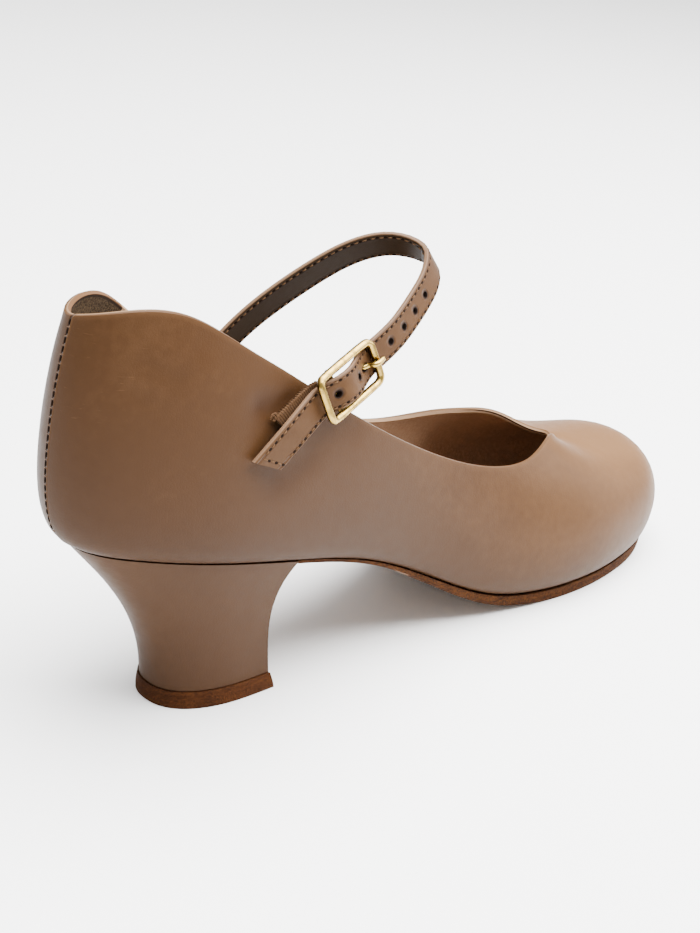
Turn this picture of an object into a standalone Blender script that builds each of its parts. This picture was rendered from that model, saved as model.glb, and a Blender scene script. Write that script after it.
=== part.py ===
"""Character shoe for the right foot, standing on its heel and on the ball of its sole.

All lengths are metres. Stations run from the back of the heel (0) to the toe (1) along +X, the
medial side of the foot is +Y, the lateral side is -Y and the floor is Z = 0. Turns run round the
shoe in radians: 0 at the back seam, pi at the toe, the lateral side first. The world's origin is
the middle of the heel's wearing face, so finished points are moved by (HEEL_REST_X, LIFT_Y).
"""
import math
from typing import NamedTuple

import bmesh
import bpy
import numpy as np
from mathutils import Vector
from mathutils.bvhtree import BVHTree

MM = 0.001

# Driving sizes of the last
SHOE_LENGTH = 246.5 * MM
BALL_WIDTH = 76.0 * MM
LAST_HEIGHT = 107.0 * MM
HEEL_LIFT = 51.0 * MM
TOE_SPRING = 4.9 * MM
QUARTER_HEIGHT = 68.0 * MM
WIDEST_HEIGHT = 17.8 * MM
TUCK = 8.2 * MM
WALL_RISE = 68.0 * MM
WALL_ROUND = 36.2 * MM
HEEL_BACK_RADIUS = 18.0 * MM
TOE_RADIUS = 31.0 * MM
SWING = 6.8 * MM
VAMP_LENGTH = 45.0 * MM
THROAT_WIDTH = 49.2 * MM
THROAT_REACH = 26.7 * MM
THROAT_POINT_Y = 5.6 * MM
THROAT_EASE = 5.1 * MM
THROAT_LATERAL = 0.452
THROAT_POWER_LATERAL = 0.643
THROAT_POWER_MEDIAL = 0.619
RIM_BLEND = 4.0 * MM
SPINE_BACK = 28.6 * MM
SPINE_FRONT = 60.6 * MM
SPINE_Y = 1.6 * MM
SPINE_EASE = 12.0 * MM

# Walls, boards and gaps
GAP = 0.3 * MM
WALL = 1.8 * MM
TOPLINE_CREST = 0.35
WALL_SLANT = 1.8
SEAM_LAP = 0.7 * MM
LAP_WIDTH = 9.0 * MM
SEAM_EDGE = 0.6 * MM
SEAM_START = 6.0 * MM
INSOLE_THICKNESS = 2.2 * MM
SOLE_THICKNESS = 3.8 * MM
SOLE_FLANGE = 1.3 * MM
FLANGE_START = 0.3
FLANGE_EASE = 0.2
SOLE_EDGE_BEVEL = 0.5 * MM
BEVEL_LEVEL = 0.3

# Heel and its wearing piece
BREAST_X = 66.5 * MM
LIFT_THICKNESS = 5.0 * MM
LIFT_BACK_X = 32.4 * MM
LIFT_LENGTH = 32.4 * MM
LIFT_WIDTH = 31.0 * MM
LIFT_Y = -2.2 * MM
LIFT_FLARE = 1.0 * MM
LIFT_SQUARENESS = 2.25
LIFT_ROUND_SHARE = 0.78
HEEL_INSET = 0.4 * MM
BREAST_HOLLOW = 1.6 * MM
HEEL_REST_X = LIFT_BACK_X + LIFT_LENGTH / 2

# Strap, buckle and its tab
STRAP_WIDTH = 8.8 * MM
STRAP_THICKNESS = 1.8 * MM
STRAP_REACH = 122.0 * MM
STRAP_SPAN_SHARE = 0.3684
STRAP_HALF_SPAN = STRAP_SPAN_SHARE * BALL_WIDTH
STRAP_TOP = 119.0 * MM
STRAP_EDGE_ROUND = 0.5 * MM
STRAP_END_TRIM = 0.5 * MM
REAR_EDGE = (-0.6, 0.8)
HOLE_RADIUS = 0.95 * MM
HOLE_PITCH = 6.6 * MM
HOLES_BEFORE_FRAME = 4
FIRST_HOLE = 20.6 * MM
HOLES_IN_FRAME = (-2.6 * MM, 6.8 * MM)
TAIL_CUT = 4.3 * MM
TAIL_CUT_BLEND = 9.0 * MM
PRONG_SLOT = 2.6 * MM
FRAME_LENGTH = 26.0 * MM
BUCKLE_AHEAD = 1.1 * MM
DIP_REACH = 2.2
PRONG_HOLE_AHEAD = 7.3 * MM
PRONG_SLOPE = 0.6
PRONG_TIP = 0.8
FRAME_CORNER = 2.2 * MM
BAR_RADIUS = 0.95 * MM
FRAME_CLEARANCE = 0.8 * MM
FRAME_WIDTH = STRAP_WIDTH + 2 * (2 * BAR_RADIUS + FRAME_CLEARANCE)
FRAME_BOW = 1.6 * MM
PIVOT_SHARE = 0.22
PIVOT_SINK = 0.3
PIVOT_RADIUS = 0.7 * MM
PRONG_RADIUS = 0.6 * MM
TAB_WIDTH = 8.8 * MM
TAB_DRIFT = 3.6 * MM
TAB_THICKNESS = 0.9 * MM
TAB_LENGTH = 20.0 * MM
TAB_START = 1.5 * MM
TAB_EDGE_SHARE = 0.3
TAB_DRIFT_POWER = 1.2

# How finely each surface is cut
LATERAL_TURNS = 52
FINE_ROWS = 90
FINE_CROWDING = 2.2
FEATHER_ROWS = 14
LOWER_SHARES = (0.0, 0.035, 0.085, 0.15, 0.235)
UPPER_ROWS = 7
LAST_ROW_SHARE = 0.985
PLAN_STEPS = 181
ACROSS_SHARES = np.array([0.0, 0.05, 0.22, 0.5, 0.78, 0.95, 1.0])
LIFT_SHARES = np.array([0.004, 0.03, 0.08, 0.16, 0.28, 0.44, 0.62, 0.82, 1.0])
END_TURN = 0.10
INSOLE_ROWS = 34
SOLE_ROWS = 40
STRAP_ROWS = 76
STRAP_STEP = 0.5 * MM
TAB_ROWS = 14
PRONG_ROWS = 17
HOLE_SIDES = 12
BAR_SIDES = 10
CORNER_STEPS = 5


class PlanRow(NamedTuple):
    """Widest line of the shoe: station, then half widths as shares of BALL_WIDTH."""

    station: float
    lateral: float
    medial: float


PLAN = (
    PlanRow(0.06, 0.261, 0.221),
    PlanRow(0.13, 0.348, 0.312),
    PlanRow(0.24, 0.384, 0.351),
    PlanRow(0.36, 0.382, 0.335),
    PlanRow(0.47, 0.378, 0.319),
    PlanRow(0.58, 0.421, 0.360),
    PlanRow(0.68, 0.478, 0.454),
    PlanRow(0.77, 0.503, 0.498),
    PlanRow(0.86, 0.462, 0.452),
    PlanRow(0.94, 0.360, 0.320),
)


class BedRow(NamedTuple):
    """Height of the foot bed over the sole: shares of HEEL_LIFT and TOE_SPRING, and the
    sole's thickness as a share of SOLE_THICKNESS."""

    station: float
    lift: float
    spring: float
    sole: float


BED = (
    BedRow(0.00, 1.000, 0.00, 0.32),
    BedRow(0.12, 0.915, 0.00, 0.32),
    BedRow(0.26, 0.780, 0.00, 0.32),
    BedRow(0.38, 0.612, 0.00, 0.34),
    BedRow(0.50, 0.320, 0.00, 0.58),
    BedRow(0.60, 0.081, 0.00, 0.82),
    BedRow(0.70, 0.003, 0.00, 1.00),
    BedRow(0.80, 0.000, 0.00, 1.00),
    BedRow(0.90, 0.000, 0.23, 1.00),
    BedRow(1.00, 0.000, 1.00, 0.86),
)


class ShellRow(NamedTuple):
    """How the wall climbs at a station: height of its widest line (share of WIDEST_HEIGHT), how
    far the feather edge tucks under it (of TUCK), the rise and rounding of the wall (of WALL_RISE
    and WALL_ROUND), the spine's height (of LAST_HEIGHT) and how straight the top runs to it."""

    station: float
    widest: float
    tuck_lateral: float
    tuck_medial: float
    rise: float
    rounding: float
    spine: float
    straight: float


SHELL = (
    ShellRow(0.00, 1.000, 1.000, 0.970, 0.963, 1.000, 0.965, 0.060),
    ShellRow(0.12, 0.980, 0.750, 0.760, 1.010, 0.912, 1.000, 0.030),
    ShellRow(0.28, 0.940, 0.515, 0.595, 0.725, 0.720, 0.737, 0.000),
    ShellRow(0.45, 0.890, 0.540, 0.730, 0.507, 0.546, 0.618, 0.000),
    ShellRow(0.62, 0.790, 0.615, 0.730, 0.335, 0.449, 0.531, 0.000),
    ShellRow(0.75, 0.760, 0.635, 0.610, 0.220, 0.451, 0.468, 0.060),
    ShellRow(0.87, 0.770, 0.620, 0.600, 0.180, 0.526, 0.408, 0.570),
    ShellRow(1.00, 0.755, 0.600, 0.590, 0.222, 0.619, 0.375, 0.970),
)


class RimRow(NamedTuple):
    """Topline's height over the foot bed on each side, as shares of QUARTER_HEIGHT."""

    station: float
    lateral: float
    medial: float


RIM = (
    RimRow(0.00, 0.911, 0.831),
    RimRow(0.05, 0.989, 0.949),
    RimRow(0.12, 1.004, 0.924),
    RimRow(0.18, 0.907, 0.792),
    RimRow(0.25, 0.791, 0.682),
    RimRow(0.33, 0.659, 0.571),
    RimRow(0.42, 0.580, 0.509),
    RimRow(0.52, 0.584, 0.541),
    RimRow(0.60, 0.612, 0.629),
    RimRow(0.68, 0.598, 0.656),
    RimRow(0.80, 0.505, 0.489),
)


class HeelRow(NamedTuple):
    """Level of the heel (0 at its foot, 1 at the seat), how far it has flared from the foot's
    outline to the seat's, and how far its breast has moved from the foot's to the seat's."""

    level: float
    flare: float
    breast: float


HEEL = (
    HeelRow(0.00, 0.000, 0.00),
    HeelRow(0.12, 0.012, -0.25),
    HeelRow(0.28, 0.070, -0.70),
    HeelRow(0.45, 0.190, -1.05),
    HeelRow(0.60, 0.350, -1.10),
    HeelRow(0.75, 0.560, -0.80),
    HeelRow(0.88, 0.785, -0.10),
    HeelRow(0.96, 0.930, 0.60),
    HeelRow(1.00, 1.000, 1.00),
)


class StrapRow(NamedTuple):
    """Middle of the strap: forward (share of STRAP_REACH), across (of STRAP_HALF_SPAN, medial
    positive), up (of STRAP_TOP), and how its rear edge leans to the medial side."""

    forward: float
    across: float
    up: float
    lean: float


STRAP = (
    StrapRow(0.584, 0.758, 0.752, -0.09),
    StrapRow(0.664, 0.712, 0.820, -0.07),
    StrapRow(0.743, 0.612, 0.879, -0.04),
    StrapRow(0.819, 0.480, 0.933, -0.05),
    StrapRow(0.887, 0.318, 0.977, -0.05),
    StrapRow(0.945, 0.119, 1.001, -0.02),
    StrapRow(0.986, -0.098, 1.000, 0.02),
    StrapRow(1.000, -0.293, 0.984, 0.05),
    StrapRow(0.973, -0.449, 0.954, 0.10),
    StrapRow(0.913, -0.576, 0.914, 0.13),
    StrapRow(0.834, -0.694, 0.869, 0.12),
    StrapRow(0.743, -0.800, 0.829, 0.13),
)


class QuarterRow(NamedTuple):
    """Where the strap lies along a quarter: station, height over the foot bed as a share of the
    topline's there, its middle's distance out from the leather (share of STRAP_THICKNESS), and
    how its rear edge leans to the medial side if it doesn't lie flat on the leather."""

    station: float
    height: float
    off: float
    lean: float | None = None


HEAD = (QuarterRow(0.2534, 0.843, -3.00, -0.10),)
TAIL = (
    QuarterRow(0.2668, 0.9043, 2.556),
    QuarterRow(0.2326, 0.7244, 1.722),
    QuarterRow(0.1935, 0.5135, 0.889),
)


class LiftRow(NamedTuple):
    """Level of the wearing piece (0 on the floor, 1 at its top) and how far its outline has
    grown there, as a share of LIFT_FLARE."""

    level: float
    margin: float


LIFT = (
    LiftRow(0.00, 0.4),
    LiftRow(0.25, 0.5),
    LiftRow(1.00, 0.0),
)


class Look(NamedTuple):
    """Plain colour, roughness and metalness of one material."""

    colour: tuple
    roughness: float
    metallic: float


LOOKS = {
    "upper_leather": Look((0.245, 0.135, 0.075, 1.0), 0.45, 0.0),
    "sock_leather": Look((0.150, 0.085, 0.050, 1.0), 0.70, 0.0),
    "sole_leather": Look((0.220, 0.085, 0.035, 1.0), 0.75, 0.0),
    "heel_cover": Look((0.245, 0.135, 0.075, 1.0), 0.45, 0.0),
    "lift_fibre": Look((0.140, 0.045, 0.022, 1.0), 0.85, 0.0),
    "strap_leather": Look((0.270, 0.155, 0.090, 1.0), 0.45, 0.0),
    "pale_brass": Look((0.800, 0.620, 0.300, 1.0), 0.25, 1.0),
    "elastic": Look((0.240, 0.140, 0.080, 1.0), 0.80, 0.0),
}


def clear_scene():
    """Removes whatever the scene holds."""
    for thing in list(bpy.data.objects):
        bpy.data.objects.remove(thing)


def material(name):
    """The plain Principled material of one name in LOOKS."""
    look = LOOKS[name]
    made = bpy.data.materials.new(name)
    made.use_nodes = True
    shader = made.node_tree.nodes["Principled BSDF"]
    shader.inputs["Base Color"].default_value = look.colour
    shader.inputs["Roughness"].default_value = look.roughness
    shader.inputs["Metallic"].default_value = look.metallic
    made.diffuse_color = look.colour
    return made


def column(table, name):
    """One named column of a table as an array."""
    return np.array([getattr(row, name) for row in table])


def cubic(knots, values, at, flat_ends):
    """Cubic spline through the knots, with flat or with free ends."""
    knots = np.asarray(knots, float)
    values = np.asarray(values, float)
    step = np.diff(knots)
    slope = np.diff(values) / step
    count = len(knots)
    system = np.eye(count)
    right = np.zeros(count)
    for i in range(1, count - 1):
        system[i, i - 1:i + 2] = step[i - 1], 2 * (step[i - 1] + step[i]), step[i]
        right[i] = 6 * (slope[i] - slope[i - 1])
    if flat_ends:
        system[0, :2] = 2 * step[0], step[0]
        right[0] = 6 * slope[0]
        system[-1, -2:] = step[-1], 2 * step[-1]
        right[-1] = -6 * slope[-1]
    bend = np.linalg.solve(system, right)
    at = np.clip(at, knots[0], knots[-1])
    i = np.clip(np.searchsorted(knots, at, side="right") - 1, 0, count - 2)
    before = at - knots[i]
    after = knots[i + 1] - at
    curved = (bend[i] * after ** 3 + bend[i + 1] * before ** 3) / (6 * step[i])
    start = values[i] / step[i] - bend[i] * step[i] / 6
    end = values[i + 1] / step[i] - bend[i + 1] * step[i] / 6
    return curved + start * after + end * before


def soft_min(a, b, ease):
    """The lesser of two values, with the corner eased."""
    return 0.5 * (a + b - np.sqrt((a - b) ** 2 + ease * ease))


def soft_max(a, b, ease):
    """The greater of two values, with the corner eased."""
    return -soft_min(-a, -b, ease)


def turn_of(station):
    """Turn at which the widest line reaches a station on the lateral side."""
    return np.arccos(np.clip(1 - 2 * np.asarray(station, float), -1, 1))


def centre_line(x):
    """Y of the last's middle, which swings to the medial side towards the toe."""
    share = np.clip(x / SHOE_LENGTH, 0, 1)
    return SWING * share * share * (3 - 2 * share)


def half_width_factor(name, turn):
    """Half width of one side divided by the sine of the turn."""
    stations = turn_of(column(PLAN, "station"))
    inner = column(PLAN, name) * BALL_WIDTH / np.sin(stations)
    back = math.sqrt(HEEL_BACK_RADIUS * SHOE_LENGTH / 2)
    front = math.sqrt(TOE_RADIUS * SHOE_LENGTH / 2)
    knots = np.concatenate([[0], stations, [math.pi]])
    return cubic(knots, np.concatenate([[back], inner, [front]]), turn, True)


def widest_line(turns):
    """Plan of the shoe's widest line: x, y and the folded turn of each point."""
    folded = np.where(turns <= math.pi, turns, 2 * math.pi - turns)
    x = SHOE_LENGTH * (1 - np.cos(folded)) / 2
    lateral = -half_width_factor("lateral", folded)
    medial = half_width_factor("medial", folded)
    y = np.where(turns <= math.pi, lateral, medial) * np.sin(folded)
    return x, y + centre_line(x), folded


def bed_height(x):
    """Height of the foot bed, where the upper meets the sole and the heel."""
    at = column(BED, "station") * SHOE_LENGTH
    rise = column(BED, "lift") * HEEL_LIFT + column(BED, "spring") * TOE_SPRING
    return SOLE_THICKNESS + np.maximum(cubic(at, rise, x, False), 0)


def sole_thickness(x):
    """Thickness of the outsole at a station."""
    at = column(BED, "station") * SHOE_LENGTH
    return SOLE_THICKNESS * cubic(at, column(BED, "sole"), x, False)


def spine_point(x):
    """Where the wall's lines run to: the last's top line, stopped short of both ends."""
    front = SHOE_LENGTH - SPINE_FRONT
    along = soft_min(soft_max(x, SPINE_BACK, SPINE_EASE), front, SPINE_EASE)
    return along, SPINE_Y * np.clip(along / front, 0, 1) ** 2


def shell_column(name, folded):
    """A column of SHELL at each turn."""
    return cubic(turn_of(column(SHELL, "station")), column(SHELL, name), folded, True)


def tuck_at(turns, folded):
    """How far the feather edge lies inside the widest line."""
    side = 0.5 * (1 + np.sin(turns))
    lateral = shell_column("tuck_lateral", folded)
    medial = shell_column("tuck_medial", folded)
    return TUCK * (lateral * side + medial * (1 - side))


def shell_lines(turns):
    """Outer leather as fine lines from the feather edge up to the spine: (turn, step, xyz)."""
    x, y, folded = widest_line(turns)
    spine_x, spine_y = spine_point(x)
    reach = np.hypot(spine_x - x, spine_y - y)[:, None]
    widest = (WIDEST_HEIGHT * shell_column("widest", folded))[:, None]
    rise = (WALL_RISE * shell_column("rise", folded))[:, None]
    rounding = (WALL_ROUND * shell_column("rounding", folded))[:, None]
    spine = (LAST_HEIGHT * shell_column("spine", folded))[:, None]
    straight = shell_column("straight", folded)[:, None]
    below = np.linspace(1, 0, FEATHER_ROWS)[None]
    under_in = tuck_at(turns, folded)[:, None] * (1 - np.sqrt(1 - below ** 2))
    under_up = widest * (1 - below)
    share = np.linspace(0, 1, FINE_ROWS)[None, 1:] ** FINE_CROWDING
    over_in = reach * share
    crown = (1 - straight) * (1 - (1 - share) ** 2) + straight * share
    wall = rise * np.sqrt(1 - np.exp(-2 * over_in / rounding))
    over_up = widest + wall + (spine - widest - rise) * crown
    inward = np.concatenate([under_in, over_in], axis=1)
    up = np.concatenate([under_up, over_up], axis=1)
    line_x = x[:, None] + (spine_x - x)[:, None] / reach * inward
    line_y = y[:, None] + (spine_y - y)[:, None] / reach * inward
    return np.stack([line_x, line_y, bed_height(line_x) + GAP + up], axis=-1)


def topline(name, x):
    """Height of one side's topline over the foot bed."""
    at = column(RIM, "station") * SHOE_LENGTH
    return QUARTER_HEIGHT * cubic(at, column(RIM, name), x, False)


def cut_away(points):
    """Positive where the topline or the throat has cut the leather away."""
    x, y, z = points[..., 0], points[..., 1], points[..., 2]
    side = 1 / (1 + np.exp(-np.clip((y - spine_point(x)[1]) / RIM_BLEND, -30, 30)))
    above_rim = z - bed_height(x) - topline("lateral", x) * (1 - side) - topline("medial", x) * side
    back = (SHOE_LENGTH - VAMP_LENGTH - x) / THROAT_REACH
    open_back = np.maximum(back, 0) + 1e-9
    lateral_half = THROAT_WIDTH * THROAT_LATERAL * open_back ** THROAT_POWER_LATERAL
    medial_half = THROAT_WIDTH * (1 - THROAT_LATERAL) * open_back ** THROAT_POWER_MEDIAL
    across = y - THROAT_POINT_Y
    inside = np.where(across < 0, lateral_half + across, medial_half - across)
    inside = np.where(back > 0, inside, THROAT_REACH * back - np.abs(across))
    return soft_min(above_rim, inside, THROAT_EASE)


def trimmed(line, excess):
    """A fine line stopped where the leather is cut away."""
    over = np.nonzero(excess[FEATHER_ROWS:] > 0)[0]
    if not len(over):
        return line
    last = over[0] + FEATHER_ROWS
    share = -excess[last - 1] / (excess[last] - excess[last - 1])
    return np.vstack([line[:last], line[last - 1] + (line[last] - line[last - 1]) * share])


def shell_grid(turns, shares):
    """Outer leather cut at its topline, with points at the given shares of each line."""
    lines = shell_lines(turns)
    excess = cut_away(lines)
    grid = np.empty((len(turns), len(shares), 3))
    for i, line in enumerate(lines):
        kept = trimmed(line, excess[i])
        run = np.concatenate([[0], np.cumsum(np.linalg.norm(np.diff(kept, axis=0), axis=1))])
        for axis in range(3):
            grid[i, :, axis] = np.interp(shares * run[-1], run, kept[:, axis])
    return grid


def grid_normals(grid):
    """Outward unit normals of a grid that closes round on itself."""
    around = np.roll(grid, -1, axis=0) - np.roll(grid, 1, axis=0)
    normals = np.cross(around, np.gradient(grid, axis=1))
    return normals / np.linalg.norm(normals, axis=-1, keepdims=True)


def mesh_object(name, points, faces, look, smooth=True):
    """A closed mesh object whose faces point outwards, moved to the world's origin."""
    mesh = bpy.data.meshes.new(name)
    shifted = np.asarray(points, float) - (HEEL_REST_X, LIFT_Y, 0)
    mesh.from_pydata([tuple(point) for point in shifted], [], faces)
    shape = bmesh.new()
    shape.from_mesh(mesh)
    bmesh.ops.recalc_face_normals(shape, faces=shape.faces)
    shape.to_mesh(mesh)
    shape.free()
    for polygon in mesh.polygons:
        polygon.use_smooth = smooth
    mesh.materials.append(look)
    made = bpy.data.objects.new(name, mesh)
    bpy.context.scene.collection.objects.link(made)
    return made


def ring_faces(rings, size, closed):
    """Quads between successive rings of points; the last joins the first if closed."""
    faces = []
    for i in range(rings if closed else rings - 1):
        here = i * size
        there = (i + 1) % rings * size
        for k in range(size):
            after = (k + 1) % size
            faces.append((here + k, there + k, there + after, here + after))
    return faces


def ring_solid(name, rings, look):
    """A solid that runs round on itself, such as the upper's wall or a buckle's frame."""
    rings = np.asarray(rings)
    count, size = rings.shape[:2]
    return mesh_object(name, rings.reshape(-1, 3), ring_faces(count, size, True), look)


def rod_solid(name, rings, look):
    """A solid with two ends, such as a strap or a prong."""
    rings = np.asarray(rings)
    count, size = rings.shape[:2]
    faces = ring_faces(count, size, False)
    faces.append(tuple(range(size)))
    faces.append(tuple(range((count - 1) * size, count * size)))
    return mesh_object(name, rings.reshape(-1, 3), faces, look)


def sheet_faces(rows, columns, start):
    """Quads of one sheet whose points begin at an index."""
    faces = []
    for i in range(rows - 1):
        for k in range(columns - 1):
            corner = start + i * columns + k
            faces.append((corner, corner + 1, corner + columns + 1, corner + columns))
    return faces


def sheet_border(rows, columns):
    """Indices round the border of one sheet."""
    first = list(range(columns))
    right = [i * columns + columns - 1 for i in range(1, rows)]
    last = [(rows - 1) * columns + k for k in range(columns - 2, -1, -1)]
    left = [i * columns for i in range(rows - 2, 0, -1)]
    return first + right + last + left


def stacked_solid(name, sheets, look):
    """A solid from sheets of points, lowest first: full faces below and above, walls between."""
    sheets = np.asarray(sheets)
    levels, rows, columns = sheets.shape[:3]
    size = rows * columns
    border = sheet_border(rows, columns)
    keep = list(range(size)) + [size * (levels - 1) + k for k in range(size)]
    faces = sheet_faces(rows, columns, 0) + sheet_faces(rows, columns, size * (levels - 1))
    for level in range(levels - 1):
        keep += [size * level + k for k in border]
        for k, point in enumerate(border):
            after = border[(k + 1) % len(border)]
            low = size * level
            faces.append((low + point, low + after, low + size + after, low + size + point))
    used = sorted(set(keep))
    index = {old: new for new, old in enumerate(used)}
    points = sheets.reshape(-1, 3)[used]
    return mesh_object(name, points, [tuple(index[k] for k in face) for face in faces], look)


def upper_turns():
    """Turns of the upper's lines, with a pair of lines at the step of the back seam."""
    lateral = np.linspace(0, math.pi, LATERAL_TURNS + 1)
    edge = SEAM_EDGE / math.sqrt(HEEL_BACK_RADIUS * SHOE_LENGTH / 2)
    return np.concatenate([[0, edge], lateral[1:], 2 * math.pi - lateral[1:-1][::-1]])


def seam_step(grid):
    """Raises the lateral quarter's edge where it laps the medial one at the back seam."""
    normals = grid_normals(grid)
    raised = grid.copy()
    seam = grid[1]
    for i in range(1, len(grid) // 4):
        away = np.linalg.norm(grid[i] - seam, axis=1)[:, None]
        climb = np.clip((grid[i, :, 2:] - grid[i, 0, 2]) / SEAM_START, 0, 1)
        raised[i] += normals[i] * SEAM_LAP * climb * np.clip(1 - away / LAP_WIDTH, 0, 1)
    return raised


def row_shares():
    """Shares of each wall line at which the upper has points, closer near both edges."""
    upper = np.linspace(LOWER_SHARES[-1], LAST_ROW_SHARE, UPPER_ROWS + 1)[1:]
    return np.concatenate([LOWER_SHARES, upper, [1.0]])


def make_upper(look):
    """The lasted leather shell, one hollow wall open above and below; returns its outside."""
    outer = seam_step(shell_grid(upper_turns(), row_shares()))
    normals = grid_normals(shell_grid(upper_turns(), row_shares()))
    inner = outer - normals * WALL
    sideways = outer[:, 0, :2] - outer[:, 2, :2]
    sideways /= np.linalg.norm(sideways, axis=1, keepdims=True)
    inner[:, 0, :2] = outer[:, 0, :2] + sideways * WALL
    inner[:, 0, 2] = bed_height(inner[:, 0, 0]) + GAP
    edge = outer[:, -1] - outer[:, -2]
    edge /= np.linalg.norm(edge, axis=1, keepdims=True)
    crest = (outer[:, -1] + inner[:, -1]) / 2 + edge * WALL * TOPLINE_CREST
    rings = np.concatenate([outer, crest[:, None], inner[:, ::-1]], axis=1)
    ring_solid("upper", rings, look)
    return outer


def plan_edges(inset):
    """Feather edge moved inwards by an inset in plan: lateral and medial (x, y) lines."""
    sides = []
    for start, end in ((0, math.pi), (2 * math.pi, math.pi)):
        turns = np.linspace(start, end, PLAN_STEPS)
        x, y, folded = widest_line(turns)
        spine_x, spine_y = spine_point(x)
        reach = np.hypot(spine_x - x, spine_y - y)
        inward = tuck_at(turns, folded) + (inset(x) if callable(inset) else inset)
        edge_x = x + (spine_x - x) / reach * inward
        edge_y = y + (spine_y - y) / reach * inward
        sides.append(np.stack([edge_x, edge_y]))
    return sides


def plan_sheet(edges, stations, height):
    """A sheet between two plan edges at given x stations, at a height worked out from x."""
    (lateral_x, lateral_y), (medial_x, medial_y) = edges
    low = np.interp(stations, lateral_x, lateral_y)
    high = np.interp(stations, medial_x, medial_y)
    x = np.repeat(stations[:, None], len(ACROSS_SHARES), axis=1)
    y = low[:, None] + (high - low)[:, None] * ACROSS_SHARES[None]
    return np.stack([x, y, height(x)], axis=-1)


def span_of(edges):
    """Smallest and largest x that both plan edges reach."""
    (lateral_x, _), (medial_x, _) = edges
    return max(lateral_x.min(), medial_x.min()), min(lateral_x.max(), medial_x.max())


def round_shares(rows, both_ends):
    """Shares from 0 to 1 that crowd towards the rounded ends, stopping just short of a point."""
    if both_ends:
        return (1 - np.cos(np.linspace(END_TURN, math.pi - END_TURN, rows))) / 2
    return np.sin(np.linspace(0, math.pi / 2 - END_TURN, rows))


def make_insole(look):
    """The board inside the upper, whose edge follows the wall as it opens above the feather."""
    def top_inset(x):
        folded = turn_of(x / SHOE_LENGTH)
        climb = INSOLE_THICKNESS / (WIDEST_HEIGHT * shell_column("widest", folded))
        out = TUCK * shell_column("tuck_lateral", folded) * np.sqrt(1 - (1 - climb) ** 2)
        return WALL_SLANT * WALL + 2 * GAP - out

    sheets = []
    for inset, lift in ((WALL + 2 * GAP, 0.0), (top_inset, INSOLE_THICKNESS)):
        edges = plan_edges(inset)
        back, front = span_of(edges)
        stations = back + (front - back) * round_shares(INSOLE_ROWS, True)
        sheets.append(plan_sheet(edges, stations, lambda x, lift=lift: bed_height(x) + GAP + lift))
    return stacked_solid("insole", sheets, look)


def sole_under(x):
    """Height of the outsole's underside, pressed flat where it meets the floor."""
    return np.maximum(bed_height(x) - sole_thickness(x), 0)


def make_outsole(look):
    """The leather sole from the heel's breast to the toe, flat on the floor under the ball."""
    def flange(x):
        return -SOLE_FLANGE * np.clip((x / SHOE_LENGTH - FLANGE_START) / FLANGE_EASE, 0, 1)

    edges = plan_edges(flange)
    under_edges = plan_edges(lambda x: flange(x) + SOLE_EDGE_BEVEL)
    start = BREAST_X + GAP
    sheets = []
    for sides, height in (
        (under_edges, sole_under),
        (edges, lambda x: sole_under(x) + BEVEL_LEVEL * (bed_height(x) - sole_under(x))),
        (edges, bed_height),
    ):
        front = span_of(sides)[1]
        stations = start + (front - start) * round_shares(SOLE_ROWS, False)
        sheets.append(plan_sheet(sides, stations, height))
    return stacked_solid("outsole", sheets, look)


def lift_edges(margin):
    """X and half width of the wearing piece's D outline at LIFT_SHARES, grown by a margin."""
    rounded = np.minimum(LIFT_SHARES / LIFT_ROUND_SHARE, 1)
    half = (1 - (1 - rounded) ** LIFT_SQUARENESS) ** (1 / LIFT_SQUARENESS)
    x = LIFT_BACK_X - margin + (LIFT_LENGTH + 2 * margin) * LIFT_SHARES
    return x, (LIFT_WIDTH / 2 + margin) * half


def d_sheet(x, low, high, height, front_hollow=0.0):
    """A sheet of rows between low and high y, its last row hollowed backwards."""
    y = low[:, None] + (high - low)[:, None] * ACROSS_SHARES[None]
    hollow = front_hollow * (1 - (2 * ACROSS_SHARES - 1) ** 2)
    rows = np.linspace(0, 1, len(x))[:, None] ** 3
    full_x = x[:, None] - rows * hollow[None]
    return np.stack([full_x, y, np.broadcast_to(height(full_x), y.shape)], axis=-1)


def make_top_lift(look):
    """The heel's wearing piece, a little wider at the floor and flared at its front."""
    sheets = []
    for row in LIFT:
        x, half = lift_edges(LIFT_FLARE * row.margin)
        front = LIFT_FLARE * (1 - row.level) * LIFT_SHARES ** 4

        def height(at, level=row.level):
            return np.full_like(at, LIFT_THICKNESS * level)

        sheets.append(d_sheet(x + front, LIFT_Y - half, LIFT_Y + half, height, BREAST_HOLLOW))
    return stacked_solid("top_lift", sheets, look)


def make_heel(look):
    """The covered block: the lift's outline below, the seat's above, hollowed on every side."""
    foot_x, foot_half = lift_edges(-HEEL_INSET)
    edges = plan_edges(-HEEL_INSET)
    back = span_of(edges)[0]
    seat_x = back + (BREAST_X - back) * LIFT_SHARES
    seat_low = np.interp(seat_x, *edges[0])
    seat_high = np.interp(seat_x, *edges[1])
    foot_z = LIFT_THICKNESS + GAP
    sheets = []
    for row in HEEL:
        x = foot_x + (seat_x - foot_x) * row.flare
        breast = foot_x[-1] + (BREAST_X - foot_x[-1]) * row.breast
        x = x[0] + (x - x[0]) * (breast - x[0]) / (x[-1] - x[0])
        low = LIFT_Y - foot_half + (seat_low - LIFT_Y + foot_half) * row.flare
        high = LIFT_Y + foot_half + (seat_high - LIFT_Y - foot_half) * row.flare

        def height(at, level=row.level):
            return foot_z + (bed_height(at) - foot_z) * level

        sheets.append(d_sheet(x, low, high, height, BREAST_HOLLOW))
    return stacked_solid("heel", sheets, look)


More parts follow.
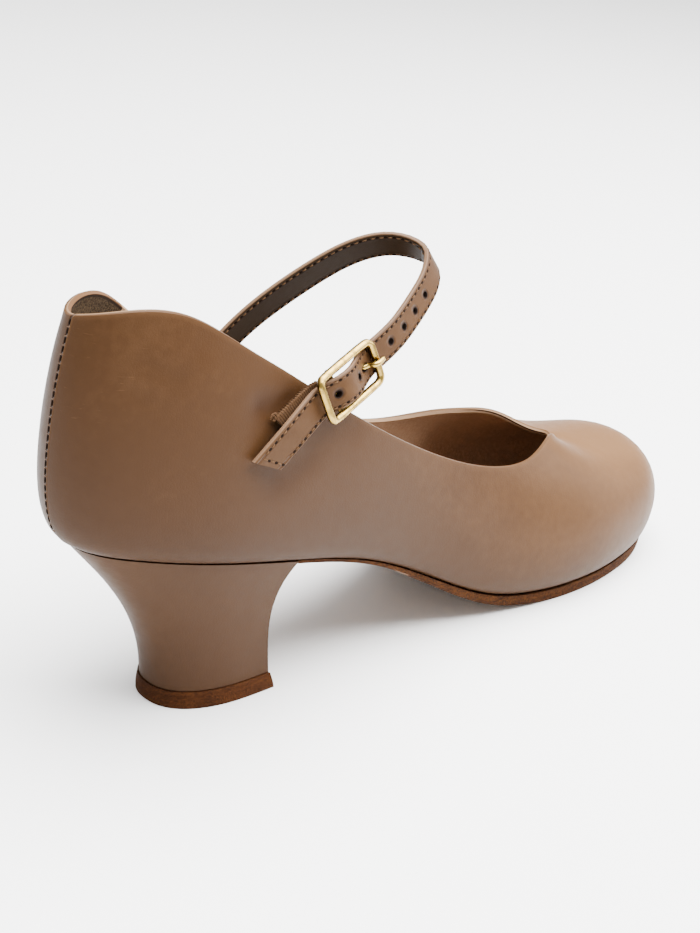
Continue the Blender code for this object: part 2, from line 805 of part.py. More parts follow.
def skin_tree(outer):
    """Search tree over the outer leather, in station coordinates."""
    count, size = outer.shape[:2]
    faces = ring_faces(count, size, True)
    faces = [face for face in faces if abs(face[0] % size - face[2] % size) == 1]
    return BVHTree.FromPolygons([Vector(point) for point in outer.reshape(-1, 3)], faces)


def quarter_skin(tree, name, row):
    """Point and outward normal of one side's quarter at a QuarterRow."""
    side = -1 if name == "lateral" else 1
    x = row.station * SHOE_LENGTH
    z = float(bed_height(x) + topline(name, x) * row.height)
    spot, normal, _, _ = tree.ray_cast(Vector((x, side * BALL_WIDTH, z)), Vector((0, -side, 0)))
    normal = normal if normal.y * side > 0 else -normal
    return np.array(spot), np.array(normal)


class StrapPath:
    """The strap's middle line with the directions of its length, rear edge and outer face."""

    def __init__(self, tree):
        self.rows = []
        self.leans = []
        self.add_quarter(tree, "medial", HEAD)
        for row in STRAP:
            self.rows.append((row.forward * STRAP_REACH, row.across * STRAP_HALF_SPAN, row.up * STRAP_TOP))
            self.leans.append(row.lean)
        below = len(self.rows)
        self.add_quarter(tree, "lateral", TAIL)
        self.rows.insert(below, (np.array(self.rows[below - 1]) + self.rows[below]) / 2)
        self.leans.insert(below, (self.leans[below - 1] + self.leans[below]) / 2)
        self.rows = np.array(self.rows)
        self.leans = np.array(self.leans)
        steps = np.linalg.norm(np.diff(self.rows, axis=0), axis=1)
        self.run = np.concatenate([[0], np.cumsum(steps)])
        self.length = self.run[-1]
        self.buckle = self.run[below] + BUCKLE_AHEAD

    def add_quarter(self, tree, name, table):
        """Adds the rows that lie along one side's quarter."""
        for row in table:
            spot, normal = quarter_skin(tree, name, row)
            flat = -(REAR_EDGE[0] * normal[0] + REAR_EDGE[1] * normal[2]) / normal[1]
            self.rows.append(spot + normal * row.off * STRAP_THICKNESS)
            self.leans.append(flat if row.lean is None else row.lean)

    def middle(self, at):
        """Points of the middle line at distances along it."""
        at = np.asarray(at, float)
        return np.stack([cubic(self.run, self.rows[:, k], at, False) for k in range(3)], axis=-1)

    def frame(self, at):
        """Middle, length, rear edge and outer face directions at distances along the strap."""
        at = np.atleast_1d(np.asarray(at, float))
        along = self.middle(at + STRAP_STEP) - self.middle(at - STRAP_STEP)
        along /= np.linalg.norm(along, axis=1, keepdims=True)
        lean = cubic(self.run, self.leans, at, False)
        rear = np.stack([np.full(len(at), REAR_EDGE[0]), lean, np.full(len(at), REAR_EDGE[1])], axis=1)
        rear -= along * np.sum(rear * along, axis=1, keepdims=True)
        rear /= np.linalg.norm(rear, axis=1, keepdims=True)
        return self.middle(at), along, rear, np.cross(rear, along)

    def place(self, at, away):
        """A point off the strap's middle line: along is implied, (rear, out) are given."""
        middle, _, rear, out = self.frame(at)
        away = np.atleast_2d(away)
        return middle + rear * away[:, :1] + out * away[:, 1:]


def band_section(width, thickness, edge):
    """Section of a band with rounded edges, as (rear, out) pairs."""
    half = width / 2
    deep = thickness / 2
    return np.array([
        (-half + edge, -deep), (half - edge, -deep), (half, -deep + edge), (half, deep - edge),
        (half - edge, deep), (-half + edge, deep), (-half, deep - edge), (-half, -deep + edge),
    ])


def buckle_lift(path, at):
    """How far the strap's middle dips under the frame's ends and rises over its pivot."""
    from_centre = at - path.buckle
    half = FRAME_LENGTH / 2 - BAR_RADIUS
    under = bow(half) - BAR_RADIUS - 2 * GAP - STRAP_THICKNESS / 2
    over = pivot_out() + PIVOT_RADIUS + 2 * GAP + STRAP_THICKNESS / 2
    knots = (-DIP_REACH * half, -half - BAR_RADIUS, -half + BAR_RADIUS, pivot_along(),
             half - BAR_RADIUS, half + BAR_RADIUS, DIP_REACH * half)
    values = (0, under, under, over, under, under, 0)
    return cubic(knots, values, from_centre, True)


def band_rings(path, stops, section, off):
    """Rings of a band along the strap's path, its middle raised by off(stops)."""
    middle, _, rear, out = path.frame(stops)
    raised = middle + out * off(stops)[:, None]
    return [
        point + section[:, :1] * edge[None] + section[:, 1:] * face[None]
        for point, edge, face in zip(raised, rear, out)
    ]


def prong_hole(path):
    """Distance along the strap of the hole that the prong comes through."""
    return path.buckle - PRONG_HOLE_AHEAD


def hole_cutters(path):
    """Round cutters for the strap's holes, hidden in the render, as one object."""
    holes = [(path.buckle - FIRST_HOLE - HOLE_PITCH * k, 0.0) for k in range(HOLES_BEFORE_FRAME)]
    holes += [(path.buckle + offset, 0.0) for offset in HOLES_IN_FRAME]
    holes.append((prong_hole(path), PRONG_SLOT))
    points = []
    faces = []
    for stop, stretch in holes:
        middle, along, rear, out = (part[0] for part in path.frame(stop))
        middle = middle + out * buckle_lift(path, np.array([stop]))[0]
        start = len(points)
        for side in (-1, 1):
            for k in range(HOLE_SIDES):
                angle = 2 * math.pi * k / HOLE_SIDES
                forward = math.cos(angle) * HOLE_RADIUS + math.copysign(stretch / 2, math.cos(angle))
                across = math.sin(angle) * HOLE_RADIUS
                points.append(middle + along * forward + rear * across + out * side * STRAP_THICKNESS)
        other = start + HOLE_SIDES
        for k in range(HOLE_SIDES):
            after = (k + 1) % HOLE_SIDES
            faces.append((start + k, start + after, other + after, other + k))
        faces.append(tuple(range(start, other)))
        faces.append(tuple(range(other, other + HOLE_SIDES)))
    cutters = mesh_object("hole_cutters", points, faces, None, smooth=False)
    cutters.hide_render = True
    cutters.hide_viewport = True
    return cutters


def make_strap(path, look):
    """The strap: inside the medial quarter, over the instep, through the buckle to its tail."""
    stops = np.linspace(STRAP_END_TRIM, path.length - STRAP_END_TRIM, STRAP_ROWS)
    section = band_section(STRAP_WIDTH, STRAP_THICKNESS, STRAP_EDGE_ROUND)
    rings = band_rings(path, stops, section, lambda at: buckle_lift(path, at))
    slanted = np.clip(1 - (stops[-1] - stops) / TAIL_CUT_BLEND, 0, 1) ** 2
    _, along, _, _ = path.frame(stops)
    reach = section[:, :1] / STRAP_WIDTH * TAIL_CUT
    rings = [ring + share * reach * way for ring, share, way in zip(rings, slanted, along)]
    strap = rod_solid("strap", rings, look)
    cut = strap.modifiers.new("holes", "BOOLEAN")
    cut.operation = "DIFFERENCE"
    cut.solver = "EXACT"
    cut.object = hole_cutters(path)
    return strap


def buckle_place(path, along, across, out):
    """A point in the buckle's own axes, turned into station coordinates."""
    middle, length, rear, face = (part[0] for part in path.frame(path.buckle))
    return middle + length * along + rear * across + face * out


def frame_outline():
    """Middle line of the frame's bar: (along, across) of a rectangle with rounded corners."""
    half_long = FRAME_LENGTH / 2 - BAR_RADIUS
    half_wide = FRAME_WIDTH / 2 - BAR_RADIUS
    points = []
    for quarter in range(4):
        side = (1, 1, -1, -1)[quarter], (-1, 1, 1, -1)[quarter]
        centre = side[0] * (half_long - FRAME_CORNER), side[1] * (half_wide - FRAME_CORNER)
        for step in range(CORNER_STEPS):
            angle = math.pi / 2 * (quarter - 1 + step / (CORNER_STEPS - 1))
            points.append((centre[0] + FRAME_CORNER * math.cos(angle),
                           centre[1] + FRAME_CORNER * math.sin(angle)))
    return np.array(points)


def bow(along):
    """How far the frame's bar stands off the buckle's plane, most at its two ends."""
    return FRAME_BOW * (along / (FRAME_LENGTH / 2)) ** 2


def make_buckle_frame(path, look):
    """The metal frame, bowed at both ends, with the pivot bar across it."""
    line = frame_outline()
    ahead = np.roll(line, -1, axis=0) - np.roll(line, 1, axis=0)
    ahead /= np.linalg.norm(ahead, axis=1, keepdims=True)
    rings = []
    for (along, across), (dx, dy) in zip(line, ahead):
        ring = []
        for k in range(BAR_SIDES):
            angle = 2 * math.pi * k / BAR_SIDES
            side = BAR_RADIUS * math.cos(angle)
            out = BAR_RADIUS * math.sin(angle) + bow(along)
            ring.append(buckle_place(path, along + dy * side, across - dx * side, out))
        rings.append(ring)
    frame = ring_solid("buckle_frame", rings, look)
    pivot = rod_between(
        "pivot_bar",
        buckle_place(path, pivot_along(), -FRAME_WIDTH / 2 + BAR_RADIUS, pivot_out()),
        buckle_place(path, pivot_along(), FRAME_WIDTH / 2 - BAR_RADIUS, pivot_out()),
        PIVOT_RADIUS,
        look,
    )
    pivot.hide_render = True
    pivot.hide_viewport = True
    join = frame.modifiers.new("pivot", "BOOLEAN")
    join.operation = "UNION"
    join.solver = "EXACT"
    join.object = pivot
    return frame


def pivot_along():
    """Distance of the pivot bar from the buckle's centre, towards the tail."""
    return FRAME_LENGTH * PIVOT_SHARE


def pivot_out():
    """Distance of the pivot bar's middle from the buckle's plane."""
    return -FRAME_BOW * PIVOT_SINK


def tube_rings(points, radius):
    """Rings round a line of points, turned as little as the line allows."""
    points = np.asarray(points)
    ahead = np.gradient(points, axis=0)
    ahead /= np.linalg.norm(ahead, axis=1, keepdims=True)
    side = np.cross(ahead[0], (0.3, 0.5, 0.8))
    rings = []
    for point, way in zip(points, ahead):
        side = side - way * np.dot(side, way)
        side /= np.linalg.norm(side)
        other = np.cross(way, side)
        turns = [2 * math.pi * k / BAR_SIDES for k in range(BAR_SIDES)]
        rings.append([point + radius * (side * math.cos(a) + other * math.sin(a)) for a in turns])
    return rings


def rod_between(name, start, end, radius, look):
    """A straight round rod."""
    points = start + (end - start) * np.linspace(0, 1, 3)[:, None]
    return rod_solid(name, tube_rings(points, radius), look)


def make_buckle_prong(path, look):
    """The prong: from beside the pivot, through the strap's hole and over the frame's end."""
    half = FRAME_LENGTH / 2 - BAR_RADIUS
    hole = prong_hole(path)
    clear = STRAP_THICKNESS / 2 + PRONG_RADIUS + GAP
    rest = bow(half) + BAR_RADIUS + GAP + PRONG_RADIUS

    def by_strap(stop, above):
        lift = buckle_lift(path, np.array([stop]))[0]
        return path.place(stop, (0.0, lift + above))[0]

    points = [
        buckle_place(path, pivot_along() - PIVOT_RADIUS - GAP - PRONG_RADIUS, 0.0, pivot_out()),
        by_strap(hole + PRONG_SLOPE * PRONG_SLOT, -clear),
        by_strap(hole, 0.0),
        by_strap(hole - PRONG_SLOPE * PRONG_SLOT, clear),
        buckle_place(path, -half * PRONG_TIP, 0.0, rest),
        buckle_place(path, -half - BAR_RADIUS * PRONG_TIP, 0.0, rest),
    ]
    points = np.array(points)
    knots = np.arange(len(points))
    run = np.linspace(0, knots[-1], PRONG_ROWS)
    line = np.stack([cubic(knots, points[:, k], run, False) for k in range(3)], axis=1)
    return rod_solid("buckle_prong", tube_rings(line, PRONG_RADIUS), look)


def make_buckle_tab(path, look):
    """The elastic tab under the strap's tail that carries the pivot bar."""
    start = path.buckle + pivot_along() - TAB_START
    stops = np.linspace(start, start + TAB_LENGTH, TAB_ROWS)
    section = band_section(TAB_WIDTH, TAB_THICKNESS, TAB_THICKNESS * TAB_EDGE_SHARE)
    under_pivot = pivot_out() - PIVOT_RADIUS - GAP - TAB_THICKNESS / 2
    under_strap = -(STRAP_THICKNESS + TAB_THICKNESS) / 2 - 1.5 * GAP

    def off(at):
        return soft_min(buckle_lift(path, at) + under_strap, under_pivot, GAP)

    _, _, rear, _ = path.frame(stops)
    drift = TAB_DRIFT * np.linspace(0, 1, TAB_ROWS) ** TAB_DRIFT_POWER
    rings = band_rings(path, stops, section, off)
    rings = [ring + way * shift for ring, way, shift in zip(rings, rear, drift)]
    return rod_solid("buckle_tab", rings, look)


def build():
    """Clears the scene and makes every piece."""
    clear_scene()
    brass = material("pale_brass")
    outer = make_upper(material("upper_leather"))
    make_insole(material("sock_leather"))
    make_outsole(material("sole_leather"))
    make_heel(material("heel_cover"))
    make_top_lift(material("lift_fibre"))
    path = StrapPath(skin_tree(outer))
    make_strap(path, material("strap_leather"))
    make_buckle_frame(path, brass)
    make_buckle_prong(path, brass)
    make_buckle_tab(path, material("elastic"))


build()
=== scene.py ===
"""Looks of the tan character shoe: leather, stitching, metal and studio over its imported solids."""

import logging
import math
from dataclasses import dataclass, replace
from enum import Enum
from functools import reduce
from typing import Any, Sequence

import bmesh
import bpy
import numpy as np
from mathutils import Matrix, Vector
from mathutils.bvhtree import BVHTree
from mathutils.kdtree import KDTree


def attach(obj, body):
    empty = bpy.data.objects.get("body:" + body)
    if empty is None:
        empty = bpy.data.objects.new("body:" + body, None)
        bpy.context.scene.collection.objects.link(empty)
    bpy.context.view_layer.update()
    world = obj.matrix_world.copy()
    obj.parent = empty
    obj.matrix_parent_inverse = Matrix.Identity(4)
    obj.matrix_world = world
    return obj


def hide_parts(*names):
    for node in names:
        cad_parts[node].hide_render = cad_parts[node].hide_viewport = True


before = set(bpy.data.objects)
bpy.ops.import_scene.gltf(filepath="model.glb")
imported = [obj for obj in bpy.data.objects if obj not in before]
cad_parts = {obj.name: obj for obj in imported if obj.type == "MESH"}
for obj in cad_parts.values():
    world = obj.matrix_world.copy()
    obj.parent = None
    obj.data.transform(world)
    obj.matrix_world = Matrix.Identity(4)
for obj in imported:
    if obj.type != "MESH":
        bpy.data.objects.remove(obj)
LOG = logging.getLogger("shoe")

MM = 0.001
BODY = "root"
HEEL_REST_X = 48.6 * MM
LIFT_Y = -2.2 * MM

Array = np.ndarray
Material = bpy.types.Material
Mesh = bpy.types.Mesh
Object = bpy.types.Object
Colour = tuple[float, float, float]


class Side(Enum):
    """The two faces of the strap."""

    OUTER = 1
    INNER = -1


class Wire:
    """A shader socket that takes part in Python arithmetic."""

    def __init__(self, graph: "Graph", socket: bpy.types.NodeSocket) -> None:
        """Wraps one output socket of a graph."""
        self.graph = graph
        self.socket = socket

    def _math(self, operation: str, *others: Any) -> "Wire":
        """One Math node's result on this value and the others."""
        return self.graph.math(operation, self, *others)

    def __add__(self, other: Any) -> "Wire":
        """Sum."""
        return self._math("ADD", other)

    __radd__ = __add__

    def __sub__(self, other: Any) -> "Wire":
        """Difference."""
        return self._math("SUBTRACT", other)

    def __mul__(self, other: Any) -> "Wire":
        """Product."""
        return self._math("MULTIPLY", other)

    __rmul__ = __mul__

    def __pow__(self, other: Any) -> "Wire":
        """Power."""
        return self._math("POWER", other)

    def __abs__(self) -> "Wire":
        """Size without sign."""
        return self._math("ABSOLUTE")

    def least(self, other: Any) -> "Wire":
        """The lesser of two values."""
        return self._math("MINIMUM", other)

    def sine(self) -> "Wire":
        """Sine of an angle in radians."""
        return self._math("SINE")

    def rise(self, low: float, high: float) -> "Wire":
        """A smooth step from 0 at low to 1 at high.

        Args:
            low: Value where the step starts.
            high: Value where it ends; below low for a falling step.

        Returns:
            The eased share.
        """
        turned = float(low > high)
        made = self.graph.node(
            "ShaderNodeMapRange",
            {"interpolation_type": "SMOOTHSTEP"},
            {0: self, 1: min(low, high), 2: max(low, high), 3: turned, 4: 1.0 - turned},
        )
        return Wire(self.graph, made.outputs[0])


class Graph:
    """The nodes of one material."""

    def __init__(self, name: str) -> None:
        """Makes a material that holds only its output and its main shader."""
        self.material = bpy.data.materials.new(name)
        self.material.use_nodes = True
        self.tree = self.material.node_tree
        self.shader = self.tree.nodes["Principled BSDF"]

    def feed(self, socket: bpy.types.NodeSocket, value: Any) -> None:
        """Links a wire to a socket, or sets the socket's own value."""
        if isinstance(value, Wire):
            self.tree.links.new(value.socket, socket)
        elif isinstance(value, tuple) and socket.type == "RGBA":
            socket.default_value = (*value, 1.0)
        else:
            socket.default_value = value

    def node(self, kind: str, settings: dict[str, Any], inputs: dict[Any, Any]) -> bpy.types.Node:
        """Adds a node.

        Args:
            kind: The node's type name.
            settings: Its properties, set first; stops holds a ramp's places and colours.
            inputs: Values or wires by socket name or number.

        Returns:
            The new node.
        """
        made = self.tree.nodes.new(kind)
        for name, value in settings.items():
            if name == "stops":
                self.set_stops(made.color_ramp, value)
            else:
                setattr(made, name, value)
        for name, value in inputs.items():
            self.feed(made.inputs[name], value)
        return made

    def set_stops(self, ramp: bpy.types.ColorRamp, stops: Sequence[tuple[float, Colour]]) -> None:
        """Gives a ramp its colours at their places."""
        while len(ramp.elements) < len(stops):
            ramp.elements.new(0.5)
        for element, (place, colour) in zip(ramp.elements, stops):
            element.position = place
            element.color = (*colour, 1.0)

    def math(self, operation: str, *values: Any) -> Wire:
        """One Math node's result on wires or numbers."""
        made = self.node("ShaderNodeMath", {"operation": operation}, dict(enumerate(values)))
        return Wire(self, made.outputs[0])

    def place(self) -> Wire:
        """The surface point in the shoe's own metres."""
        return Wire(self, self.node("ShaderNodeTexCoord", {}, {}).outputs["Object"])

    def axes(self) -> tuple[Wire, Wire, Wire]:
        """Forward, inward and upward metres of the surface point."""
        made = self.node("ShaderNodeSeparateXYZ", {}, {0: self.place()})
        return Wire(self, made.outputs[0]), Wire(self, made.outputs[1]), Wire(self, made.outputs[2])

    def stretched(self, scale: tuple[float, float, float]) -> Wire:
        """The surface point with each axis stretched by its own share."""
        made = self.node("ShaderNodeVectorMath", {"operation": "MULTIPLY"}, {0: self.place(), 1: scale})
        return Wire(self, made.outputs[0])

    def carried(self, name: str) -> Wire:
        """A number that the mesh carries at its points."""
        made = self.node("ShaderNodeAttribute", {"attribute_name": name}, {})
        return Wire(self, made.outputs["Fac"])

    def noise(self, size: float, detail: float = 3.0, at: Wire | None = None) -> Wire:
        """Soft random value from 0 to 1.

        Args:
            size: Width of one blotch in metres.
            detail: How many finer layers it has.
            at: Where it is read; the surface point if left out.

        Returns:
            The value.
        """
        made = self.node(
            "ShaderNodeTexNoise", {}, {"Vector": at or self.place(), "Scale": 1 / size, "Detail": detail}
        )
        return Wire(self, made.outputs[0])

    def cells(self, size: float, feature: str = "F1") -> Wire:
        """Distance from the nearest cell's middle, or from its edge.

        Args:
            size: Width of one cell in metres.
            feature: F1 for the middle, DISTANCE_TO_EDGE for the edge.

        Returns:
            The distance as a share of the cell.
        """
        made = self.node(
            "ShaderNodeTexVoronoi", {"feature": feature}, {"Vector": self.place(), "Scale": 1 / size}
        )
        return Wire(self, made.outputs["Distance"])

    def blend(self, share: Any, first: Any, second: Any) -> Wire:
        """Colour between two colours."""
        made = self.node("ShaderNodeMix", {"data_type": "RGBA"}, {0: share, 6: first, 7: second})
        return Wire(self, made.outputs[2])

    def layers(self, colour: Any, *laid: tuple[Any, Any]) -> Any:
        """A colour with others laid over it in turn, each by its own share."""
        for share, tint in laid:
            colour = self.blend(share, colour, tint)
        return colour

    def ramp(self, share: Wire, stops: Sequence[tuple[float, Colour]]) -> Wire:
        """Colour read from a row of stops."""
        made = self.node("ShaderNodeValToRGB", {"stops": stops}, {0: share})
        return Wire(self, made.outputs[0])

    def finish(
        self, colour: Any, roughness: Any, height: Wire | None = None, **uniform: float
    ) -> Material:
        """Feeds the main shader.

        Args:
            colour: Base colour, a wire or three numbers.
            roughness: A wire or a number.
            height: Relief in millimetres.
            uniform: Numbers for the shader's own sockets, with underscores for spaces.

        Returns:
            The finished material.
        """
        self.feed(self.shader.inputs["Base Color"], colour)
        self.feed(self.shader.inputs["Roughness"], roughness)
        for name, value in uniform.items():
            self.shader.inputs[name.replace("_", " ")].default_value = value
        if height is not None:
            bump = self.node("ShaderNodeBump", {}, {"Strength": 1.0, "Distance": MM, "Height": height})
            self.feed(self.shader.inputs["Normal"], Wire(self, bump.outputs[0]))
        return self.material


@dataclass(frozen=True)
class Leather:
    """Smooth satin leather with a fine grain."""

    name: str
    deep: Colour = (0.0230, 0.0086, 0.0027)
    middle: Colour = (0.0425, 0.0184, 0.0061)
    light: Colour = (0.1180, 0.0600, 0.0262)
    roughness: float = 0.46
    grain: float = 0.9 * MM
    gloss: float = 0.10

    def tone(self, graph: Graph) -> Wire:
        """How light the leather is, from its mottling and from the tone that the mesh carries, which on the
        upper and the heel holds painted shade and painted highlights.
        """
        broad = graph.noise(38 * MM, 2.0)
        fine = graph.noise(2.6 * MM, 5.0)
        return 0.5 + (broad - 0.5) * 0.22 + (fine - 0.5) * 0.13 + graph.carried("tone") * 0.5

    def relief(self, graph: Graph) -> Wire:
        """Pores and fine folds, in millimetres."""
        pores = graph.cells(self.grain, "DISTANCE_TO_EDGE").rise(0.0, 0.22)
        waves = graph.noise(7 * MM, 4.0)
        return pores * 0.010 + waves * 0.06

    def marks(self, graph: Graph, colour: Wire, height: Wire) -> tuple[Wire, Wire]:
        """Seams and edges of one piece; plain leather has none."""
        return colour, height

    def build(self) -> Material:
        """Makes the material."""
        graph = Graph(self.name)
        tone = self.tone(graph)
        colour = graph.ramp(tone, [(0.0, self.deep), (0.5, self.middle), (1.0, self.light)])
        colour, height = self.marks(graph, colour, self.relief(graph))
        rough = self.roughness + (graph.noise(3 * MM) - 0.5) * 0.14
        return graph.finish(colour, rough, height, Specular_IOR_Level=self.gloss)


@dataclass(frozen=True)
class UpperLeather(Leather):
    """The upper's leather, with its back seam and its turned topline."""

    seam_y: float = 2.2 * MM
    valley: float = 1.5 * MM
    # The next two fields: width and colour of a painted highlight along the topline's edge.
    edge: float = 2.3 * MM
    edge_highlight: Colour = (0.230, 0.140, 0.078)
    # Colour of painted shade in the back seam's valley.
    groove_shade: Colour = (0.016, 0.007, 0.003)

    def marks(self, graph: Graph, colour: Wire, height: Wire) -> tuple[Wire, Wire]:
        """Back seam's valley with painted shade, its ridge with a painted highlight, light scuffs near it,
        and a painted highlight along the edge of the topline.

        Args:
            graph: The material's nodes.
            colour: The leather's colour so far.
            height: The leather's relief so far.

        Returns:
            Colour and relief with the marks on them.
        """
        forward, inward, upward = graph.axes()
        behind = forward.rise(-33 * MM, -38 * MM)
        away = inward - self.seam_y
        valley = away.rise(0.0, 0.15 * MM) * away.rise(self.valley, self.valley * 0.55) * behind
        ridge = away.rise(-1.3 * MM, -0.5 * MM) * away.rise(0.15 * MM, -0.05 * MM) * behind
        rim = graph.carried("rim")
        scuff = graph.noise(0.9 * MM, 4.0, graph.stretched((0.25, 0.25, 2.2))).rise(0.66, 0.74)
        scuffed = scuff * forward.rise(-16 * MM, -34 * MM) * upward.rise(84 * MM, 100 * MM)
        colour = graph.layers(
            colour,
            # Painted highlight along the topline's edge: a faint broad band and a narrow bright line.
            (rim.rise(self.edge, self.edge * 0.35) * 0.20, self.light),
            (rim.rise(0.70 * MM, 0.3 * MM) * 0.65, self.edge_highlight),
            (scuffed * 0.22, self.light),
            # Painted highlight on the ridge of the lapped edge.
            (ridge * 0.38, self.light),
            # Painted shade in the back seam's valley.
            (valley * 0.75, self.groove_shade),
        )
        return colour, height - valley * 0.35 + ridge * 0.1


@dataclass(frozen=True)
class StrapLeather(Leather):
    """The strap's leather: light cut edges, dark inner face, and painted shade in its stitch channel and its
    punched holes, in millimetres.
    """

    inside: Colour = (0.0140, 0.0064, 0.0015)
    cut: Colour = (0.17, 0.10, 0.058)
    # Colour of painted shade inside the punched holes.
    hole: Colour = (0.010, 0.005, 0.003)
    edge_at: float = 4.05
    channel_at: float = 3.3
    holes: tuple[float, ...] = ()

    def marks(self, graph: Graph, colour: Wire, height: Wire) -> tuple[Wire, Wire]:
        """Inner face, cut edges, and painted shade in the stitch channel, round the holes and inside them.

        Args:
            graph: The material's nodes.
            colour: The leather's colour so far.
            height: The leather's relief so far.

        Returns:
            Colour and relief with the marks on them.
        """
        along = graph.carried("along")
        across = abs(graph.carried("across"))
        fleck = graph.noise(0.5 * MM, 4.0)
        channel = abs(across - self.channel_at).rise(0.5, 0.2)
        near = reduce(Wire.least, [((along - stop) ** 2.0 + across**2.0) ** 0.5 for stop in self.holes])
        colour = graph.layers(
            colour,
            (graph.carried("out").rise(-0.25, -0.75), self.inside),
            (across.rise(self.edge_at, self.edge_at + 0.3) * (0.45 + fleck * 0.4), self.cut),
            # Painted shade in the stitch channel, round each hole and inside it.
            (channel * 0.3, self.deep),
            (near.rise(2.0, 1.3) * 0.35, self.deep),
            (near.rise(1.28, 1.10), self.hole),
        )
        return colour, height - channel * 0.12 - near.rise(1.9, 1.1) * 0.25


@dataclass(frozen=True)
class Suede:
    """Brushed leather with a soft nap: linings and the walking side of the sole."""

    name: str
    dark: Colour
    light: Colour
    nap: float = 0.5 * MM
    streak: float = 5.0
    bloom: float = 0.1

    def tint(self, graph: Graph, colour: Wire) -> Wire:
        """Lays anything else over the nap's colour; plain suede has nothing."""
        return colour

    def build(self) -> Material:
        """Makes the material."""
        graph = Graph(self.name)
        pulled = graph.stretched((1.0, 1.0, 1.0 / self.streak))
        nap = graph.noise(self.nap, 5.0, pulled)
        broad = graph.noise(11 * MM, 3.0)
        share = (0.25 * broad + 0.75 * nap).rise(0.32, 0.70)
        colour = self.tint(graph, graph.blend(share, self.dark, self.light))
        rough = 0.88 + (nap - 0.5) * 0.15
        return graph.finish(colour, rough, nap * 0.12, Specular_IOR_Level=0.1, Sheen_Weight=self.bloom)


@dataclass(frozen=True)
class Lining(Suede):
    """Lining with the turned edge of the leather above it, seen inside the topline; a turned edge set dark is
    painted shade on the leather's edge.
    """

    turned: Colour = (0.105, 0.052, 0.024)
    turned_width: float = 1.2 * MM
    line: Colour = (0.012, 0.006, 0.003)
    line_width: float = 0.45 * MM

    def tint(self, graph: Graph, colour: Wire) -> Wire:
        """Lays the turned edge and the line under it over the lining's colour."""
        rim = graph.carried("rim")
        end = self.turned_width + self.line_width
        return graph.layers(
            colour,
            (rim.rise(end * 1.15, end * 0.92) * 0.85, self.line),
            (rim.rise(self.turned_width * 1.1, self.turned_width * 0.85), self.turned),
        )


@dataclass(frozen=True)
class CutEdge:
    """Sanded edge of bottom leather: fine layers, flecks and a dark line of painted shade at the feather,
    where the piece above meets it.
    """

    name: str
    dark: Colour = (0.0105, 0.0031, 0.0008)
    light: Colour = (0.0640, 0.0225, 0.0060)
    layer: float = 0.7 * MM
    fleck: float = 0.45 * MM
    contrast: float = 1.0
    # Colour of the painted shade line at the feather.
    feather: Colour = (0.022, 0.010, 0.005)

    def build(self) -> Material:
        """Makes the material."""
        graph = Graph(self.name)
        layers = graph.noise(self.layer, 4.0, graph.stretched((0.12, 0.12, 1.0)))
        flecks = graph.noise(self.fleck, 5.0)
        broad = graph.noise(14 * MM, 2.0)
        specks = graph.cells(self.fleck * 1.3).rise(0.45, 0.15)
        uneven = (layers - 0.5) * 0.5 + (flecks - 0.5) * 2.6 + (broad - 0.5) * 0.5
        share = 0.44 + uneven * self.contrast + specks * 0.15
        # Painted shade: a dark line where the piece above meets this edge.
        line = graph.carried("feather").rise(0.40, 0.12)
        colour = graph.blend(share.rise(0.15, 0.85), self.dark, self.light)
        colour = graph.blend(line * 0.3, colour, self.feather)
        rough = 0.82 + (flecks - 0.5) * 0.2
        return graph.finish(colour, rough, layers * 0.10 + flecks * 0.14, Specular_IOR_Level=0.06)


@dataclass(frozen=True)
class PaleBrass:
    """Polished pale brass with fine wear, and painted shade on the faces that turn away from the strap's
    outer side.
    """

    name: str
    bright: Colour = (0.46, 0.305, 0.075)
    # Colour of the wear, also used for painted shade.
    wear_and_shade: Colour = (0.100, 0.056, 0.012)

    def build(self) -> Material:
        """Makes the material."""
        graph = Graph(self.name)
        wear = graph.noise(2.2 * MM, 5.0).rise(0.46, 0.62)
        fine = graph.noise(0.25 * MM, 4.0)
        colour = graph.blend(wear * 0.45, self.bright, self.wear_and_shade)
        # Painted shade on the sides of the frame and prong, which turn away from the strap's outer side.
        colour = graph.blend(graph.carried("out").rise(0.62, 0.10) * 0.85, colour, self.wear_and_shade)
        return graph.finish(colour, 0.20 + wear * 0.16 + fine * 0.08, fine * 0.012, Metallic=1.0)


@dataclass(frozen=True)
class Thread:
    """Waxed sewing thread, or painted shade for the inside of a needle hole."""

    name: str
    dark: Colour
    light: Colour
    roughness: float = 0.6

    def build(self) -> Material:
        """Makes the material."""
        graph = Graph(self.name)
        twist = graph.noise(0.22 * MM, 3.0)
        colour = graph.blend(twist.rise(0.3, 0.7), self.dark, self.light)
        return graph.finish(colour, self.roughness, twist * 0.05, Specular_IOR_Level=0.06)


def painted_hole_shade(name: str) -> Thread:
    """Painted shade for the inside of needle holes and slots."""
    return Thread(name, (0.004, 0.002, 0.001), (0.012, 0.006, 0.003), 0.9)


@dataclass(frozen=True)
class Elastic:
    """Ribbed woven elastic."""

    name: str
    dark: Colour = (0.024, 0.0105, 0.0038)
    light: Colour = (0.072, 0.0350, 0.0150)
    rib: float = 0.7 * MM

    def build(self) -> Material:
        """Makes the material."""
        graph = Graph(self.name)
        along = graph.carried("along")
        across = graph.carried("across")
        ribs = (along * (2 * math.pi * MM / self.rib)).sine() * 0.5 + 0.5
        yarns = (across * (4 * math.pi)).sine() * 0.5 + 0.5
        weave = ribs * 0.6 + yarns * 0.4
        colour = graph.blend(weave * 0.7 + graph.noise(0.5 * MM) * 0.3, self.dark, self.light)
        return graph.finish(colour, 0.85, weave * 0.12, Specular_IOR_Level=0.1)


